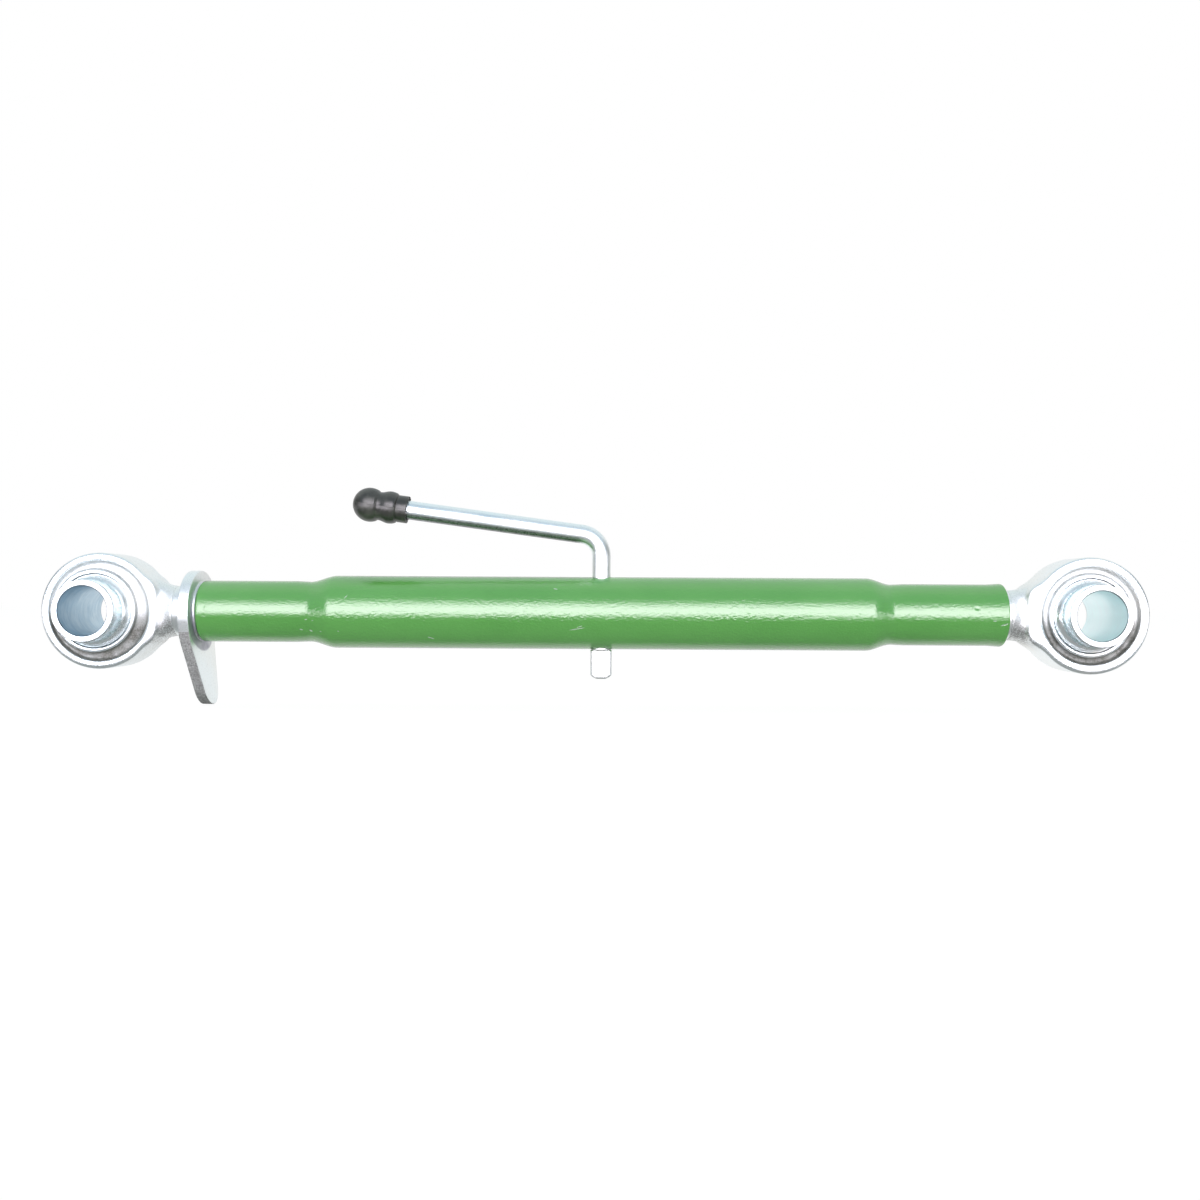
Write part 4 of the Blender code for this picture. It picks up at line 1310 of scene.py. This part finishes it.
def area_light(name, place, aim, size, power, colour=WHITE):
    """A lamp that lights the object, but isn't mirrored in it."""
    light = bpy.data.lights.new(name, "AREA")
    light.shape = "RECTANGLE"
    light.size, light.size_y = size
    light.energy = power
    light.color = colour
    lamp = bpy.data.objects.new(name, light)
    bpy.context.scene.collection.objects.link(lamp)
    lamp.location = place
    lamp.rotation_euler = (Vector(aim) - Vector(place)).to_track_quat("-Z", "Y").to_euler()
    lamp.visible_glossy = False


def seen_direct(nodes, rays):
    """1 for rays that the camera sends, straight or through something clear."""
    return nodes.math("MAXIMUM", rays["Is Camera Ray"], rays["Is Transmission Ray"])


def make_world():
    """White behind the object, and before it a long soft box above the table's edge.

    A bluish room lies over the box, and the dark under it.
    """
    world = bpy.data.worlds.new("studio")
    bpy.context.scene.world = world
    world.use_nodes = True
    nodes = Nodes(world.node_tree)
    x, y, z = nodes.split(nodes.add("ShaderNodeTexCoord").outputs["Generated"])
    rays = nodes.add("ShaderNodeLightPath").outputs
    mirrored = rays["Is Glossy Ray"]
    aside = nodes.math("ABSOLUTE", x)
    lower = nodes.step(z, BOX_LOWER_EDGE)
    room = nodes.mix(lower, DARK_BELOW, nodes.mix(mirrored, ROOM_ABOVE, ROOM_MIRRORED))
    box = nodes.mix(mirrored, SOFT_BOX, SOFT_BOX_MIRRORED)
    inside = nodes.times(lower, nodes.step(z, BOX_UPPER_EDGE), nodes.step(aside, BOX_SIDE_EDGE))
    front = nodes.mix(inside, room, box)
    top = nodes.mix(mirrored, BACKDROP_ABOVE, BACKDROP_MIRRORED)
    backdrop = nodes.mix(nodes.step(z, BACKDROP_TOP), WHITE, top)
    lit = nodes.mix(nodes.step(y, BACKDROP_EDGE), front, backdrop)
    lit = nodes.mix(nodes.times(mirrored, nodes.step(aside, SIDE_EDGE)), lit, DARK_SIDE)
    background = world.node_tree.nodes["Background"].inputs
    nodes.put(background["Color"], nodes.mix(seen_direct(nodes, rays), lit, WHITE))
    nodes.put(background["Strength"], 1.0)


def floor_finish():
    """Shows white to the camera and keeps a soft shadow.

    A mirror sees the floor in the shade before the object, and bright like the soft box further on.
    """
    material = bpy.data.materials.new("pale_floor")
    material.use_nodes = True
    nodes = Nodes(material.node_tree)
    nodes.tree.nodes.remove(nodes.tree.nodes["Principled BSDF"])
    y = nodes.split(nodes.add("ShaderNodeTexCoord").outputs["Object"])["Y"]
    rays = nodes.add("ShaderNodeLightPath").outputs
    mirrored = rays["Is Glossy Ray"]
    slope = nodes.math("DIVIDE", -FLOOR_DROP, y)
    ahead = nodes.times(nodes.step(slope, FLOOR_GLOW), nodes.step(y, FLOOR_FRONT))
    front = nodes.mix(ahead, FLOOR_SHADE, SOFT_BOX_MIRRORED)
    reflected = nodes.mix(nodes.step(y, SHADE_EDGE), front, WHITE)
    shown = nodes.math("MAXIMUM", seen_direct(nodes, rays), mirrored)
    matt = nodes.add("ShaderNodeBsdfDiffuse")
    nodes.put(matt.inputs["Color"], nodes.mix(shown, FLOOR_LIT, FLOOR_SHOWN))
    white = nodes.add("ShaderNodeEmission")
    nodes.put(white.inputs["Color"], nodes.mix(mirrored, FLOOR_WHITE, reflected))
    nodes.put(white.inputs["Strength"], shown)
    both = nodes.add("ShaderNodeAddShader")
    nodes.put(both.inputs[0], matt.outputs[0])
    nodes.put(both.inputs[1], white.outputs[0])
    nodes.put(nodes.tree.nodes["Material Output"].inputs["Surface"], both.outputs[0])
    return material


def make_floor():
    height = CAD_BOX[0].z - FLOOR_BELOW
    corners = [(-FLOOR_REACH, -FLOOR_REACH), (FLOOR_REACH, -FLOOR_REACH)]
    corners += [(FLOOR_REACH, FLOOR_REACH), (-FLOOR_REACH, FLOOR_REACH)]
    bm = bmesh.new()
    bm.faces.new([bm.verts.new((x, y, height)) for x, y in corners])
    mesh = bpy.data.meshes.new("floor")
    bm.to_mesh(mesh)
    bm.free()
    floor = bpy.data.objects.new("floor", mesh)
    bpy.context.scene.collection.objects.link(floor)
    mesh.materials.append(floor_finish())


def make_camera():
    camera = bpy.data.cameras.new("camera")
    camera.lens = CAMERA_LENS
    camera.sensor_width = 36.0
    camera.clip_start = 0.01
    holder = bpy.data.objects.new("camera", camera)
    bpy.context.scene.collection.objects.link(holder)
    turns = Matrix.Rotation(CAMERA_YAW, 4, "Z") @ Matrix.Rotation(CAMERA_PITCH, 4, "X")
    turns = turns @ Matrix.Rotation(CAMERA_ROLL, 4, "Y") @ Matrix.Rotation(math.pi / 2, 4, "X")
    holder.matrix_world = Matrix.Translation(CAMERA_PLACE) @ turns
    bpy.context.scene.camera = holder


def make_studio():
    make_world()
    make_floor()
    middle = (LINK_LENGTH / 2, 0.0, 0.0)
    area_light("overhead", OVERHEAD_PLACE, middle, OVERHEAD_SIZE, OVERHEAD_POWER, OVERHEAD_COLOUR)
    area_light("front_fill", FILL_PLACE, middle, FILL_SIZE, FILL_POWER)
    make_camera()
    bpy.context.scene.view_settings.view_transform = "Standard"


def main():
    rod = Zinc("zinc_on_rolled_rod", dull=0.38, bright=0.28, pitted=0.00005).done()
    near = (0.0, 0.0, 0.0)
    far = (LINK_LENGTH, 0.0, 0.0)
    # The tractor ball's bore is painted dark as shade
    zinc_with_shaded_bore = ball_finish("zinc_on_tractor_ball", near, TRACTOR_BORE_SHADE)
    pale_blue = ball_finish("zinc_on_implement_ball", far, IMPLEMENT_BORE)
    make_ball("tractor_ball_turned", near, zinc_with_shaded_bore)
    make_ball("implement_ball_turned", far, pale_blue)
    tractor_skin = forging_finish("zinc_on_tractor_forging", near, TRACTOR_RING_SHIFT)
    implement_skin = forging_finish("zinc_on_implement_forging", far, 0.0)
    make_eye("tractor_eye_forging", 0.0, near, TRACTOR_GROOVE_WIDTH, TRACTOR_RING_SHIFT, tractor_skin)
    make_eye("implement_eye_forging", math.pi, far, IMPLEMENT_GROOVE_WIDTH, 0.0, implement_skin)
    thread = thread_group()
    make_screw("tractor_rod_threaded", "tractor_screw", *TRACTOR_ROD, 1.0, rod, thread)
    make_screw("implement_rod_threaded", "implement_screw", *reversed(IMPLEMENT_ROD), -1.0, rod, thread)
    make_tube(green_finish())
    make_nut(plate_finish(), sheared_finish())
    make_bar(handle_finish())
    make_grip(rubber_finish())
    make_studio()


main()
